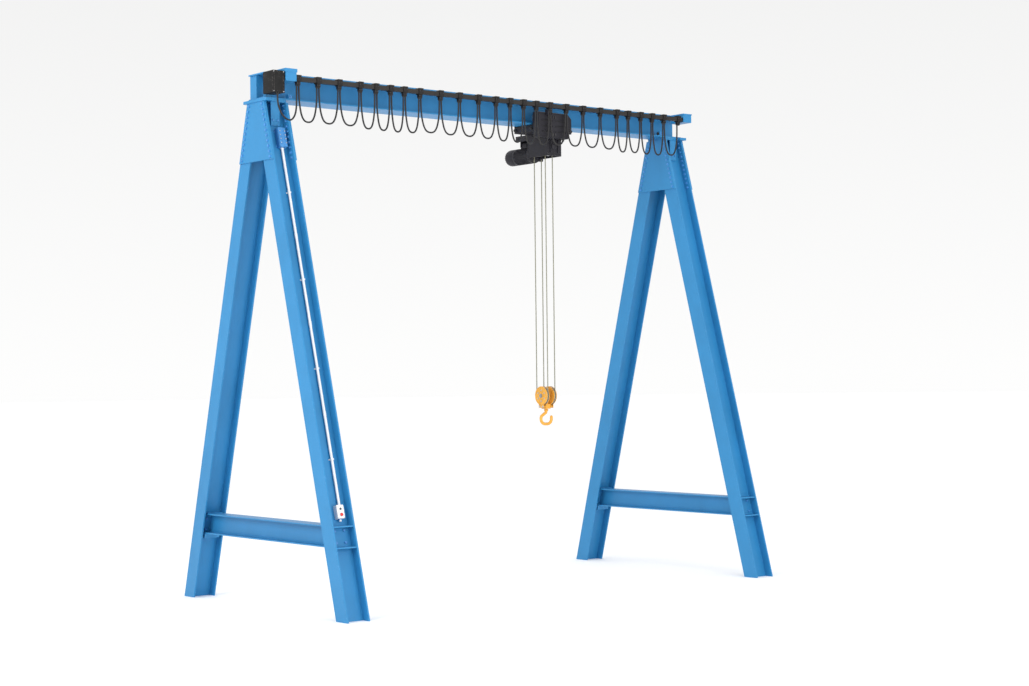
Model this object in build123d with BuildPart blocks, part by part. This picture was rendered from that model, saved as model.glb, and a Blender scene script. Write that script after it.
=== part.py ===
from build123d import *
import math
import os

# Portable A-frame gantry crane with an electric rope hoist, in millimetres.
# +X runs along the girder, +Y to the rear, +Z up. The origin is on the floor at the middle.

os.makedirs("parts", exist_ok=True)

# Overall sizes
span = 5636  # between the middle planes of the two end frames
height = 5500  # floor to the top of the left rail bracket's cap
cap_rise = 22  # that cap above the girder's top
foot_spread = 3150  # over the outer edges of the feet of one frame
girder_overhang = 132  # girder past the middle plane of each frame

# Rolled sections
girder_depth = 268
girder_width = 300
girder_flange = 14
girder_web = 9
girder_root = 27
girder_end_inset = 18  # closing plates from the girder's ends
leg_depth = 264  # along X
leg_width = 200  # along Y, measured level
leg_flange = 16
leg_web = 10
tie_depth = 214
tie_width = 176
tie_flange = 12
tie_web = 8
tie_top = 910  # height of the top of the tie beams

# Heads of the frames
head_spread = 326  # over the legs' outer edges at the head
head_plate = 30
head_ledge_depth = 440
head_ledge_reach = 22  # ledge past the outer face of the legs
head_ledge_width = 100
gusset_height = 606
gusset_thickness = 12
post_width = 100
post_thickness = 15
post_bolt_drop = 190  # post bolts below the head
post_bolt_spacing = 56

# Bolts
bolt_diameter = 16
bolt_flats = 24
bolt_head = 10
bolt_nut = 13
bolts_per_edge = 11
bolt_edge = 45  # gusset bolts inside the slanted edge
bolt_end = 28  # first and last gusset bolts from the gusset's ends
small_bolt_diameter = 12
small_bolt_flats = 19
tie_bolt_spacing_x = 110
tie_bolt_spacing = 120
tie_end_plate = 12
tie_end_plate_width = 164
tie_end_plate_length = 196

# Clearances
seat_gap = 0.3  # between pieces that are bolted or welded together
hole_gap = 0.3  # round a bolt in its hole
running_gap = 0.05  # round a turning shaft
slide_gap = 1  # round the rail inside a festoon carrier
groove_gap = 0.3  # round the rope in a groove

# Festoon rail and its cable carriers
rail_y = -330
rail_z = -95  # middle of the rail from the crane's top
rail_size = 46
rail_wall = 4
bracket_width = 128
bracket_front = 35  # bracket past the middle of the rail
bracket_height = 104
bracket_cap = 12.5
bracket_cap_reach = 8
bracket_cap_hold = 60  # left bracket's cap over the girder's flange
left_bracket_inset = 192  # middle of the left bracket from the girder's end
right_bracket_inset = 94
first_clamp_inset = 290  # first and last cable clamps from the girder's ends
last_clamp_inset = 225
carrier_width = 56
carrier_cap = 15
carrier_wall = 7
stem_width = 46
stem_depth = 34
stem_length = 30
cable_diameter = 18
strand_offset = 13  # each strand from the middle of its clamp
loop_cable_length = 854  # cable in each loop between two carriers
# Widths of the 24 cable loops from the left end clamp to the right one.
loop_widths = [245, 260, 265, 200, 190, 180, 205, 275, 260, 265, 245, 200]
loop_widths += [195, 185, 200, 245, 255, 265, 260, 180, 200, 185, 190, 235]
towed_carrier = 16  # the carrier that the trolley pulls, counted from the left

# Junction box at the left end of the girder
junction_width = 140
junction_depth = 190
junction_height = 225
junction_inset = 48  # middle of the box from the girder's end
junction_plate = 14.7
gland_radius = 14
gland_length = 18

# Isolator, conduit and push-button box on the left front leg
isolator_width = 92
isolator_length = 210
isolator_depth = 60
isolator_drop = 138.8  # middle of the isolator below the feet of the head posts
electrics_offset = 33  # isolator and conduit beside the middle of the leg
conduit_radius = 14
conduit_standoff = 22
conduit_clips = 4
control_width = 80
control_length = 134
control_depth = 60
control_z = 1032
control_offset = 14
button_radius = 11
button_height = 9
button_travel = 5
button_socket = 16
stop_radius = 16
stop_stem = 8
stop_height = 14
dark_button_up = 27  # middles of the two buttons along the box
stop_button_up = -31

# Trolley
trolley_tow = 175  # middle of the trolley from the towed carrier
trolley_length = 570
trolley_plate = 12
trolley_drop = 80  # deck below the girder
trolley_gap = 7  # cross members below the girder
side_plate_y = 160  # inner face of the side plates
side_plate_top = 61  # side plates above the wheels' axles
wheel_base = 380
wheel_radius = 60
wheel_rim = 68
wheel_rim_width = 7
wheel_inner_y = 98
wheel_outer_y = 158.5
wheel_pin_radius = 15
wheel_pin_head = 22
stop_size = 50
travel_stop_inset = 320  # travel stops from the girder's ends

# Electrics box on the trolley
box_left = -309  # left end from the trolley's middle
box_right = 135
box_back_y = -190
box_depth = 100
box_bottom = -450  # from the crane's top, as the other levels below
box_height = 290

# Hoist
drum_x = 22
drum_z = -535
drum_pitch_radius = 75
drum_flange_radius = 86
drum_front_y = -70
drum_rope_gap = 1  # drum's back flange from the rope falls
drum_flange = 8
journal_radius = 20
motor_radius = 95
motor_z = -595
motor_length = 400
motor_dome = 60
gear_case = 32
hoist_plate = 12
hoist_skirt = 5  # closing sheets beside the drum
hoist_left = -105
hoist_right = 115
hoist_front_y = -186
hoist_back_y = 370
hoist_beam = 65
hoist_bottom = -638
rope_diameter = 12
fall_x = 53  # rope falls from the hoist's middle
fall_y = 98
return_sheave_z = -570
return_axle_radius = 12
sheave_thickness = 24
sheave_rim = 8  # sheave past the rope's centreline
anchor_z = -652

# Hook block
block_z = 2115  # height of the block's axle at rest
block_axle_radius = 15
cheek_radius = 108
cheek_thickness = 6
cheek_gap = 1
tongue_width = 90
tongue_drop = 140
spacer_radius = 9
spacer_drop = 124
spacer_y = 28
crosshead_depth = 68
crosshead_top = -95  # below the axle
crosshead_bottom = -150
shank_radius = 14
shank_nut_radius = 26
shank_nut_height = 20
hook_radius = 17
hook_half_width = 78
hook_shoulder = -192
hook_side = -238
hook_bottom = -325
hook_tip = -245

# Sizes that follow from the ones above
girder_top = height - cap_rise
girder_bottom = girder_top - girder_depth
girder_half = span / 2 + girder_overhang
flange_top = girder_bottom + girder_flange
head_bottom = girder_bottom - seat_gap - head_plate
leg_top = head_bottom - seat_gap
lean = (foot_spread - head_spread) / 2 / leg_top  # level run for each unit of height
slope = math.sqrt(1 + lean**2)
web_middle = foot_spread / 2 - leg_width / 2  # the leg's web at the floor
tie_middle = tie_top - tie_depth / 2
half_leg = leg_depth / 2
half_web = leg_web / 2
rail_height = height + rail_z
carrier_bottom = rail_height - rail_size / 2 - slide_gap - carrier_wall
clamp_z = carrier_bottom - stem_length
first_clamp = -girder_half + first_clamp_inset
loop_scale = (2 * girder_half - first_clamp_inset - last_clamp_inset) / sum(loop_widths)
carriers = [first_clamp + loop_scale * sum(loop_widths[:i]) for i in range(len(loop_widths) + 1)]
trolley_x = carriers[towed_carrier - 1] + trolley_tow
axle_z = flange_top + wheel_radius + seat_gap
deck_z = girder_bottom - trolley_drop
rope_radius = rope_diameter / 2
drum_back_y = fall_y + rope_radius + drum_rope_gap + drum_flange
post_foot = (web_middle + half_web + seat_gap - girder_width / 2 + post_thickness) / lean
isolator_z = post_foot - isolator_drop
frames = {"left": -1, "right": 1}
sides = {"front": -1, "rear": 1}


def save(piece, name):
    """Labels a finished piece and writes it."""
    piece.part.label = name
    export_step(piece.part, f"parts/{name}.step")


def block(xs, ys, zs, mode=Mode.ADD):
    """A box between two values on each axis."""
    with Locations((sum(xs) / 2, sum(ys) / 2, sum(zs) / 2)):
        Box(abs(xs[1] - xs[0]), abs(ys[1] - ys[0]), abs(zs[1] - zs[0]), mode=mode)


def rod(start, axis, radius, length, mode=Mode.ADD):
    """A cylinder that starts at a point and runs along an axis."""
    with Locations(Plane(origin=start, z_dir=axis)):
        Cylinder(radius, length, align=(Align.CENTER, Align.CENTER, Align.MIN), mode=mode)


def side_profile(points, x, thickness):
    """A plate with an outline in Y and Z, from x towards +X."""
    with BuildSketch(Plane.YZ.offset(x)) as outline:
        with BuildLine():
            Polyline(*points, close=True)
        make_face()
    extrude(outline.sketch, amount=thickness)


def leg_y(offset, z):
    """Distance of a slanted leg line from the middle, offset outwards from the web's middle."""
    return web_middle + offset - lean * z


def slanted(side, offsets, zs):
    """Outline of a slanted strip of a leg between two heights, on the front or rear side."""
    near, far = offsets
    low, high = zs
    corners = [(near, low), (far, low), (far, high), (near, high)]
    return [(side * leg_y(offset, z), z) for offset, z in corners]


def web_plane(x, z, side=-1, stand=0):
    """Plane on a leg's outer web face: its y runs up the leg and its z points outwards."""
    origin = (x, side * leg_y(half_web + stand, z), z)
    return Plane(origin=origin, x_dir=(-side, 0, 0), z_dir=(0, side, lean))


def bend_radii(points):
    """Fillet radii that are as large as the two runs at each corner allow."""
    radii = []
    for before, corner, after in zip(points, points[1:], points[2:]):
        arriving = Vector(*corner) - Vector(*before)
        leaving = Vector(*after) - Vector(*corner)
        turn = math.radians(arriving.get_angle(leaving))
        shorter = min(arriving.length, leaving.length)
        radii.append(0.45 * shorter / math.tan(turn / 2))
    return radii


def gusset_bolt_rows(side):
    """Y and Z of the gusset bolts along one slanted edge."""
    top = leg_top - bolt_end
    step = (gusset_height - 2 * bolt_end) / (bolts_per_edge - 1)
    heights = [top - step * i for i in range(bolts_per_edge)]
    return [(side * leg_y(leg_width / 2 - bolt_edge, z), z) for z in heights]


def tie_bolt_grid():
    """Grid of the bolts that hold a tie beam's end plate to the leg's web."""
    return GridLocations(tie_bolt_spacing_x, tie_bolt_spacing, 2, 2)


# Girder: a rolled H section with a closing plate on the rear half of each end.
with BuildPart() as girder:
    with BuildSketch(Plane.YZ.offset(-girder_half)) as section:
        with Locations((0, girder_bottom + girder_depth / 2)):
            Rectangle(girder_width, girder_depth)
            for side in (-1, 1):
                recess = (girder_width - girder_web) / 2
                with Locations((side * (girder_web + recess) / 2, 0)):
                    Rectangle(recess, girder_depth - 2 * girder_flange, mode=Mode.SUBTRACT)
        near_web = section.vertices().filter_by(lambda v: abs(v.Y) < girder_web and v.Z > 0)
        fillet(near_web, girder_root)
    extrude(amount=2 * girder_half)
    for end in (-1, 1):
        outer = end * (girder_half - girder_end_inset)
        block(
            (outer, outer - end * tie_flange),
            (0, girder_width / 2 - 4),
            (flange_top - 1, girder_top - girder_flange + 1),
        )
save(girder, "girder")


def make_leg(end, side):
    """One slanted H-section leg with its holes, stiffeners and tie-beam seats."""
    x = end * span / 2
    half = leg_width / 2
    middle = seat_gap / 2  # the legs of a frame are cut where they meet
    peak = (web_middle - half - middle) / lean
    flange = [(leg_y(half, 0), 0), (leg_y(-half, 0), 0), (middle, peak), (middle, leg_top)]
    flange += [(leg_y(half, leg_top), leg_top)]
    flange = [(side * y, z) for y, z in flange]
    with BuildPart() as leg:
        side_profile(flange, x - half_leg, leg_flange)
        side_profile(flange, x + half_leg - leg_flange, leg_flange)
        web_x = x - half_leg + leg_flange
        inside = leg_depth - 2 * leg_flange
        side_profile(slanted(side, (-half_web, half_web), (0, leg_top)), web_x, inside)
        stiffener = tie_flange
        for z in (tie_top - tie_flange, tie_top - tie_depth):
            strip = slanted(side, (0, half - 8), (z, z + stiffener))
            side_profile(strip, web_x, inside)
        seat = (tie_top - tie_depth - 50, tie_top - tie_depth - seat_gap)
        clip = (tie_top + seat_gap, tie_top + 10 + seat_gap)
        for zs in (seat, clip):
            side_profile(slanted(side, (-half + 4, 0), zs), x - tie_width / 2, tie_width)
        radius = bolt_diameter / 2 + hole_gap
        for y, z in gusset_bolt_rows(side):
            rod((x - half_leg - 1, y, z), (1, 0, 0), radius, leg_depth + 2, Mode.SUBTRACT)
        with Locations(web_plane(x, tie_middle, side, 1)):
            with tie_bolt_grid():
                Cylinder(radius, 4 * leg_web, mode=Mode.SUBTRACT)
        small = small_bolt_diameter / 2 + hole_gap
        for sign in (-1, 1):
            start = (x + sign * post_bolt_spacing / 2, 0, head_bottom - post_bolt_drop)
            rod(start, (0, side, 0), small, girder_width, Mode.SUBTRACT)
    return leg


for end_name, end in frames.items():
    for side_name, side in sides.items():
        save(make_leg(end, side), f"{end_name}_{side_name}_leg")


def make_tie(end):
    """H-section tie beam between the two legs of a frame, with slanted end plates."""
    x = end * span / 2
    low, high = tie_top - tie_depth, tie_top
    plate_face = -half_web - seat_gap  # the end plate lies on the inner face of the web
    beam_end = plate_face - tie_end_plate
    middle = tie_middle

    def between(bottom, top):
        right = [(leg_y(beam_end, bottom), bottom), (leg_y(beam_end, top), top)]
        return right + [(-y, z) for y, z in reversed(right)]

    with BuildPart() as tie:
        side_profile(between(low, high), x - tie_web / 2, tie_web)
        side_profile(between(low, low + tie_flange), x - tie_width / 2, tie_width)
        side_profile(between(high - tie_flange, high), x - tie_width / 2, tie_width)
        for side in sides.values():
            rise = tie_end_plate_length / 2 / slope
            zs = (middle - rise, middle + rise)
            strip = slanted(side, (beam_end, plate_face), zs)
            side_profile(strip, x - tie_end_plate_width / 2, tie_end_plate_width)
            with Locations(web_plane(x, middle, side)):
                with tie_bolt_grid():
                    Cylinder(bolt_diameter / 2 + hole_gap, 8 * leg_web, mode=Mode.SUBTRACT)
    return tie


for end_name, end in frames.items():
    save(make_tie(end), f"{end_name}_tie_beam")


# Gusset plates on both flange faces at the head of each frame.
with BuildPart() as gusset_plates:
    low = leg_top - gusset_height
    edge = leg_width / 2
    outline = [(leg_y(edge, low), low), (leg_y(edge, leg_top), leg_top)]
    outline += [(-y, z) for y, z in reversed(outline)]
    for end in frames.values():
        for face in (-1, 1):
            inner = end * span / 2 + face * (half_leg + seat_gap)
            start = min(inner, inner + face * gusset_thickness)
            side_profile(outline, start, gusset_thickness)
            for side in sides.values():
                for y, z in gusset_bolt_rows(side):
                    rod(
                        (start - 1, y, z),
                        (1, 0, 0),
                        bolt_diameter / 2 + hole_gap,
                        gusset_thickness + 2,
                        Mode.SUBTRACT,
                    )
save(gusset_plates, "gusset_plates")


def make_bolt(diameter, flats, grip):
    """Bolt along +Z: its head's seat is at zero and its nut lies a grip below."""
    with BuildPart() as bolt:
        with BuildSketch(Plane.XY.offset(seat_gap)):
            RegularPolygon(flats / 2, 6, major_radius=False)
        extrude(amount=bolt_head)
        with BuildSketch(Plane.XY.offset(-grip - seat_gap)):
            RegularPolygon(flats / 2, 6, major_radius=False)
        extrude(amount=-bolt_nut)
        tail = grip + seat_gap + bolt_nut + 3
        rod((0, 0, -tail), (0, 0, 1), diameter / 2, tail + seat_gap + bolt_head / 2)
    return bolt.part


def gusset_bolt_places():
    """Planes at the heads of all the gusset bolts."""
    places = []
    reach = half_leg + seat_gap + gusset_thickness
    for end in frames.values():
        for face in (-1, 1):
            for side in sides.values():
                for y, z in gusset_bolt_rows(side):
                    origin = (end * span / 2 + face * reach, y, z)
                    places.append(Plane(origin=origin, z_dir=(face, 0, 0)))
    return places


def tie_bolt_places():
    """Planes at the heads of the tie-beam bolts, on the outer faces of the webs."""
    places = []
    for end in frames.values():
        for side in sides.values():
            plane = web_plane(end * span / 2, tie_middle, side)
            for spot in tie_bolt_grid():
                places.append(plane * spot)
    return places


def post_bolt_places():
    """Planes at the heads of the bolts through the head posts."""
    places = []
    z = head_bottom - post_bolt_drop
    for end in frames.values():
        for side in sides.values():
            for sign in (-1, 1):
                x = end * span / 2 + sign * post_bolt_spacing / 2
                origin = (x, side * girder_width / 2, z)
                places.append(Plane(origin=origin, z_dir=(0, side, 0)))
    return places


# All the structural bolts of the frames.
gusset_grip = gusset_thickness + seat_gap + leg_flange
tie_grip = leg_web / slope + seat_gap + tie_end_plate
post_web_y = leg_y(-half_web, head_bottom - post_bolt_drop)
post_grip = girder_width / 2 - post_web_y + lean * small_bolt_flats
gusset_bolt = make_bolt(bolt_diameter, bolt_flats, gusset_grip)
tie_bolt = make_bolt(bolt_diameter, bolt_flats, tie_grip)
post_bolt = make_bolt(small_bolt_diameter, small_bolt_flats, post_grip)
with BuildPart() as frame_bolts:
    with Locations(*gusset_bolt_places()):
        add(gusset_bolt)
    with Locations(*tie_bolt_places()):
        add(tie_bolt)
    with Locations(*post_bolt_places()):
        add(post_bolt)
save(frame_bolts, "frame_bolts")


# Head plates: a ledge on the outer side, a tongue under the girder and two posts.
with BuildPart() as head_plates:
    for end in frames.values():
        x = end * span / 2
        ledge = x + end * (half_leg + head_ledge_reach)
        step = ledge - end * head_ledge_width
        depth = head_ledge_depth / 2
        zs = (head_bottom, head_bottom + head_plate)
        block((ledge, step), (-depth, depth), zs)
        block((step, x - end * half_leg), (-girder_width / 2, girder_width / 2), zs)
        for side in sides.values():
            outer = girder_width / 2
            inner = outer - post_thickness
            foot = (web_middle + half_web + seat_gap - inner) / lean
            xs = (x - post_width / 2, x + post_width / 2)
            block(xs, (side * inner, side * outer), (foot, head_bottom + 1))
            for sign in (-1, 1):
                spot = x + sign * post_bolt_spacing / 2
                rod(
                    (spot, side * (inner - 1), head_bottom - post_bolt_drop),
                    (0, side, 0),
                    small_bolt_diameter / 2 + hole_gap,
                    post_thickness + 2,
                    Mode.SUBTRACT,
                )
save(head_plates, "head_plates")

# Festoon rail: a square tube that ends inside its two brackets.
left_bracket_x = -girder_half + left_bracket_inset
right_bracket_x = girder_half - right_bracket_inset
with BuildPart() as festoon_rail:
    with BuildSketch(Plane.YZ.offset(left_bracket_x - bracket_width / 2 + 10)):
        with Locations((rail_y, rail_height)):
            Rectangle(rail_size, rail_size)
            inside = rail_size - 2 * rail_wall
            Rectangle(inside, inside, mode=Mode.SUBTRACT)
    extrude(amount=right_bracket_x - left_bracket_x + bracket_width - 20)
save(festoon_rail, "festoon_rail")

# Brackets that carry the rail off the girder's top flange.
with BuildPart() as rail_brackets:
    for x in (left_bracket_x, right_bracket_x):
        ys = (-girder_width / 2 - seat_gap, rail_y - bracket_front)
        top = girder_top - bracket_cap
        xs = (x - bracket_width / 2, x + bracket_width / 2)
        block(xs, ys, (girder_top - bracket_height, girder_top))
        cap_x = (xs[0] - bracket_cap_reach, xs[1] + bracket_cap_reach)
        block(cap_x, (ys[0], ys[1] - bracket_cap_reach / 2), (top, girder_top))
        if x < 0:
            block(cap_x, (ys[0], ys[1] - bracket_cap_reach / 2), (top, height))
            block(cap_x, (ys[0] + bracket_cap_hold, ys[0] - 1), (girder_top + seat_gap, height))
        opening = rail_size + 2 * hole_gap
        ys = (rail_y - opening / 2, rail_y + opening / 2)
        zs = (rail_height - opening / 2, rail_height + opening / 2)
        block((xs[0] - 1, xs[1] + 1), ys, zs, Mode.SUBTRACT)
save(rail_brackets, "rail_brackets")

# Stops on the girder's bottom flange at both ends of the trolley's track.
with BuildPart() as travel_stops:
    for end in (-1, 1):
        x = end * (girder_half - travel_stop_inset)
        for side in sides.values():
            ys = (side * (wheel_inner_y - 10), side * (girder_width / 2 - 8))
            zs = (flange_top + seat_gap, flange_top + stop_size)
            block((x - stop_size / 2, x + stop_size / 2), ys, zs)
save(travel_stops, "travel_stops")

# Junction box with its mounting plate, lid and cable gland.
junction_x = -girder_half + junction_inset
junction_top = girder_top - 8
junction_back = -girder_width / 2 - seat_gap - junction_plate
cable_exit = (junction_x, rail_y, junction_top - junction_height - gland_length)
with BuildPart() as junction_box:
    xs = (junction_x - junction_width / 2, junction_x + junction_width / 2)
    ys = (junction_back - junction_depth, junction_back)
    zs = (junction_top - junction_height, junction_top)
    block(xs, ys, zs)
    fillet(junction_box.edges().filter_by(Axis.Z), 8)
    block((xs[0] + 8, xs[1] - 8), (ys[0] - 4, ys[0]), (zs[0] + 8, zs[1] - 8))
    for dx in (-50, 50):
        for z in (zs[0] + 22, zs[1] - 22):
            rod((junction_x + dx, ys[0] - 4, z), (0, -1, 0), 5, 3)
    plate_y = (junction_back, -girder_width / 2 - seat_gap)
    block((xs[0] + 15, xs[1] - 15), plate_y, (girder_bottom + 2, girder_top - 2))
    rod((junction_x, rail_y, zs[0]), (0, 0, -1), gland_radius, gland_length)
save(junction_box, "junction_box")

# Isolator switch box on the left front leg, with a bolted lid and a gland.
electrics_x = -span / 2 + electrics_offset
with BuildPart() as isolator_box:
    plane = web_plane(electrics_x, isolator_z, stand=seat_gap)
    with BuildSketch(plane):
        Rectangle(isolator_width, isolator_length)
    extrude(amount=isolator_depth)
    with BuildSketch(plane.offset(isolator_depth)):
        Rectangle(isolator_width - 10, isolator_length - 10)
    extrude(amount=6)
    with BuildSketch(plane.offset(isolator_depth + 6)):
        with GridLocations(isolator_width - 34, 42, 2, 4):
            Circle(8)
    extrude(amount=6)
    low = plane * Location((0, -isolator_length / 2, conduit_standoff))
    rod(low.position, (0, -lean, -1), conduit_radius + 5, 16)
save(isolator_box, "isolator_box")


def up_leg(start, distance, stand):
    """Point on the left front leg, a distance up from a height and off its web."""
    plane = web_plane(electrics_x, start, stand=seat_gap)
    return (plane * Location((0, distance, stand))).position


# White conduit down the leg with its saddle clips.
conduit_top = up_leg(isolator_z, -isolator_length / 2 - 16 - seat_gap, conduit_standoff)
conduit_foot = up_leg(control_z, control_length / 2 + seat_gap, conduit_standoff)
conduit_length = (conduit_top - conduit_foot).length
with BuildPart() as conduit:
    rod(conduit_foot, (0, lean, 1), conduit_radius, conduit_length)
    for i in range(conduit_clips):
        along = conduit_length * (i + 0.5) / conduit_clips
        middle = up_leg(control_z, control_length / 2 + along, 0)
        plane = Plane(origin=middle, x_dir=(1, 0, 0), z_dir=(0, -1, lean))
        with BuildSketch(plane):
            Rectangle(48, 14)
        extrude(amount=4)
        with BuildSketch(plane):
            Rectangle(2 * conduit_radius + 3, 14)
        extrude(amount=conduit_standoff + conduit_radius + 1.5)
save(conduit, "conduit")

# Push-button box: the face plane's origin is in the middle of its front face.
control_x = -span / 2 + control_offset
control_back = web_plane(control_x, control_z, stand=seat_gap)
control_face = control_back.offset(control_depth)
outwards = (0, -1, lean)


def on_face(up, out):
    """Point on the push-button box's face line, raised off the face."""
    return (control_face * Location((0, up, out))).position


with BuildPart() as control_box:
    with BuildSketch(control_back):
        RectangleRounded(control_width, control_length, 8)
    extrude(amount=control_depth)
    rod(on_face(dark_button_up, 0), outwards, button_radius + 6, 2)
    rod(on_face(stop_button_up, 0), outwards, stop_stem + 8, 2)
    rod(
        on_face(dark_button_up, 3),
        (0, 1, -lean),
        button_radius + hole_gap,
        button_socket + 3,
        Mode.SUBTRACT,
    )
    rod(
        on_face(stop_button_up, 3),
        (0, 1, -lean),
        stop_stem + hole_gap,
        button_socket + 3,
        Mode.SUBTRACT,
    )
    low = (control_back * Location((0, -control_length / 2, control_depth / 2))).position
    rod(low, (0, -lean, -1), 12, 26)
save(control_box, "control_box")

with BuildPart() as dark_button:
    inside = button_socket - button_travel - 1
    length = inside + button_height
    rod(on_face(dark_button_up, -inside), outwards, button_radius, length)
    chamfer(dark_button.faces().sort_by(Axis.Y)[0].edges(), 1.5)
save(dark_button, "dark_button")

with BuildPart() as stop_button:
    rod(on_face(stop_button_up, -inside), outwards, stop_stem, inside + stop_height)
    lift = button_travel + 3
    rod(on_face(stop_button_up, lift), outwards, stop_radius, stop_height + 4 - lift)
    fillet(stop_button.faces().sort_by(Axis.Y)[0].edges(), 4)
save(stop_button, "stop_button")


def carrier_body(x):
    """Festoon carrier round the rail, with its cable clamp below."""
    half = rail_size / 2 + slide_gap
    outer = half + carrier_wall
    xs = (x - carrier_width / 2, x + carrier_width / 2)
    reach = carrier_width / 2 + 5
    block(xs, (rail_y - outer, rail_y + outer), (rail_height - outer, rail_height + half))
    cap_z = (rail_height + half, rail_height + half + carrier_cap)
    block(xs, (rail_y - reach, rail_y + reach), cap_z)
    ys = (rail_y - stem_depth / 2, rail_y + stem_depth / 2)
    block((x - stem_width / 2, x + stem_width / 2), ys, (clamp_z, rail_height - outer))
    ys = (rail_y - half, rail_y + half)
    zs = (rail_height - half, rail_height + half)
    block((xs[0] - 1, xs[1] + 1), ys, zs, Mode.SUBTRACT)


with BuildPart() as festoon_end_clamps:
    for x in (carriers[0], carriers[-1]):
        carrier_body(x)
save(festoon_end_clamps, "festoon_end_clamps")

for number, x in enumerate(carriers[1:-1], start=2):
    with BuildPart() as carrier:
        carrier_body(x)
    save(carrier, f"carrier_{number:02d}")


# Festoon cable. Half a loop, as shares of the half width and of the drop.
half_loop = [(0, 0), (0, 0.3), (0.1, 0.6), (0.32, 0.87), (0.68, 1)]


def loop_points(left, right):
    """Route of the cable between two clamps."""
    start = left + strand_offset
    half = (right - left) / 2 - strand_offset
    drop = (loop_cable_length - half) / 2
    points = [(start + half * u, rail_y, clamp_z - drop * v) for u, v in half_loop]
    middle = start + half
    return points + [(2 * middle - x, y, z) for x, y, z in reversed(points)]


def first_route():
    """Route of the cable from the junction box's gland to the first clamp."""
    x, y, z = cable_exit
    end = carriers[0] - strand_offset
    bottom = clamp_z - 364
    points = [(x, y, z), (x, y, z - 62), (x + 18, y, z - 140), (x + 56, y, z - 205)]
    points += [(x + 112, y, bottom), (end - 64, y, bottom - 3), (end - 22, y, bottom + 48)]
    points += [(end - 4, y, bottom + 125), (end, y, bottom + 222), (end, y, clamp_z)]
    return points


def cable_solid(points, radius):
    """Round cable along straight runs joined by tangent arcs."""
    radii = bend_radii(points)
    with BuildPart(mode=Mode.PRIVATE) as tube:
        with BuildLine() as path:
            FilletPolyline(*points, radius=radii)
        route = path.wires()[0]
        with BuildSketch(Plane(origin=points[0], z_dir=route % 0)):
            Circle(radius)
        sweep(path=route)
    expected = math.pi * radius**2 * route.length
    return tube.part, radii, route.length, tube.part.volume / expected


routes = [first_route()]
routes += [loop_points(left, right) for left, right in zip(carriers, carriers[1:])]
with BuildPart() as festoon_cable:
    for route in routes:
        loop, radii, length, ratio = cable_solid(route, cable_diameter / 2)
        add(loop)
        print(f"cable loop {length:.0f} long, radii {min(radii):.0f} up, volume ratio {ratio:.4f}")
save(festoon_cable, "festoon_cable")

# Trolley frame: two side plates, cross members and a deck, with four welded wheel pins.
wheel_places = {
    "left_front": (-1, -1),
    "right_front": (1, -1),
    "left_rear": (-1, 1),
    "right_rear": (1, 1),
}
with BuildPart() as trolley_frame:
    xs = (trolley_x - trolley_length / 2, trolley_x + trolley_length / 2)
    for side in sides.values():
        plate_y = (side * side_plate_y, side * (side_plate_y + trolley_plate))
        block(xs, plate_y, (deck_z, axle_z + side_plate_top))
    corners = trolley_frame.edges().filter_by(Axis.Y).group_by(Axis.Z)[-1]
    chamfer(corners, 45)
    inner = (-side_plate_y, side_plate_y)
    for x, inward in ((xs[0], 1), (xs[1], -1)):
        block((x, x + inward * trolley_plate), inner, (deck_z, girder_bottom - trolley_gap))
    block(xs, inner, (deck_z, deck_z + trolley_plate))
    for end, side in wheel_places.values():
        x = trolley_x + end * wheel_base / 2
        start = (x, side * (side_plate_y + trolley_plate), axle_z)
        rod(start, (0, side, 0), wheel_pin_head, 12)
        inner_y = wheel_inner_y - seat_gap
        reach = side_plate_y + trolley_plate - inner_y
        rod(start, (0, -side, 0), wheel_pin_radius, reach + 5)
        rod((x, side * inner_y, axle_z), (0, -side, 0), wheel_pin_head, 5)
        shoulder = side_plate_y - wheel_outer_y - seat_gap
        rod((x, side * side_plate_y, axle_z), (0, -side, 0), wheel_pin_head, shoulder)
save(trolley_frame, "trolley_frame")


def make_wheel(end, side):
    """Flanged trolley wheel that runs on the girder's bottom flange."""
    x = trolley_x + end * wheel_base / 2
    rim_y = wheel_outer_y - wheel_rim_width
    with BuildPart() as wheel:
        rod((x, side * wheel_inner_y, axle_z), (0, side, 0), wheel_radius, rim_y - wheel_inner_y)
        chamfer(wheel.edges().filter_by(GeomType.CIRCLE).sort_by(Axis.Y)[0 if side > 0 else -1], 2)
        rod((x, side * rim_y, axle_z), (0, side, 0), wheel_rim, wheel_rim_width)
        hole = wheel_pin_radius + running_gap
        rod((x, side * (wheel_inner_y - 1), axle_z), (0, side, 0), hole, 70, Mode.SUBTRACT)
    return wheel


for name, (end, side) in wheel_places.items():
    save(make_wheel(end, side), f"{name}_wheel")

# Electrics box in front of the trolley, with louvres, standoffs and a fork for the towed carrier.
box_low = height + box_bottom
with BuildPart() as electrics_box:
    xs = (trolley_x + box_left, trolley_x + box_right)
    ys = (box_back_y - box_depth, box_back_y)
    zs = (box_low, box_low + box_height)
    block(xs, ys, zs)
    fillet(electrics_box.edges().filter_by(Axis.X).group_by(Axis.Z)[-1], 22)
    fillet(electrics_box.edges().filter_by(Axis.Y).group_by(Axis.Z)[0], 8)
    for row in range(3):
        z = box_low + 62 + 62 * row
        for x in (xs[0] + 130, xs[1] - 110):
            block((x - 75, x + 75), (ys[0] - 1, ys[0] + 4), (z, z + 14), Mode.SUBTRACT)
    for x in (xs[0] + 60, xs[1] - 40):
        for z in (box_low + 100, box_low + 130 + 60):
            stand = -side_plate_y - trolley_plate - seat_gap - box_back_y
            rod((x, box_back_y, z), (0, 1, 0), 8, stand)
    stem = carriers[towed_carrier - 1]
    for sign in (-1, 1):
        near = stem + sign * (stem_width / 2 + hole_gap)
        fork = (ys[0] + 2, rail_y - 10)
        block((near, near + sign * 9), fork, (clamp_z - 40, clamp_z + 24))
save(electrics_box, "electrics_box")

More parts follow.
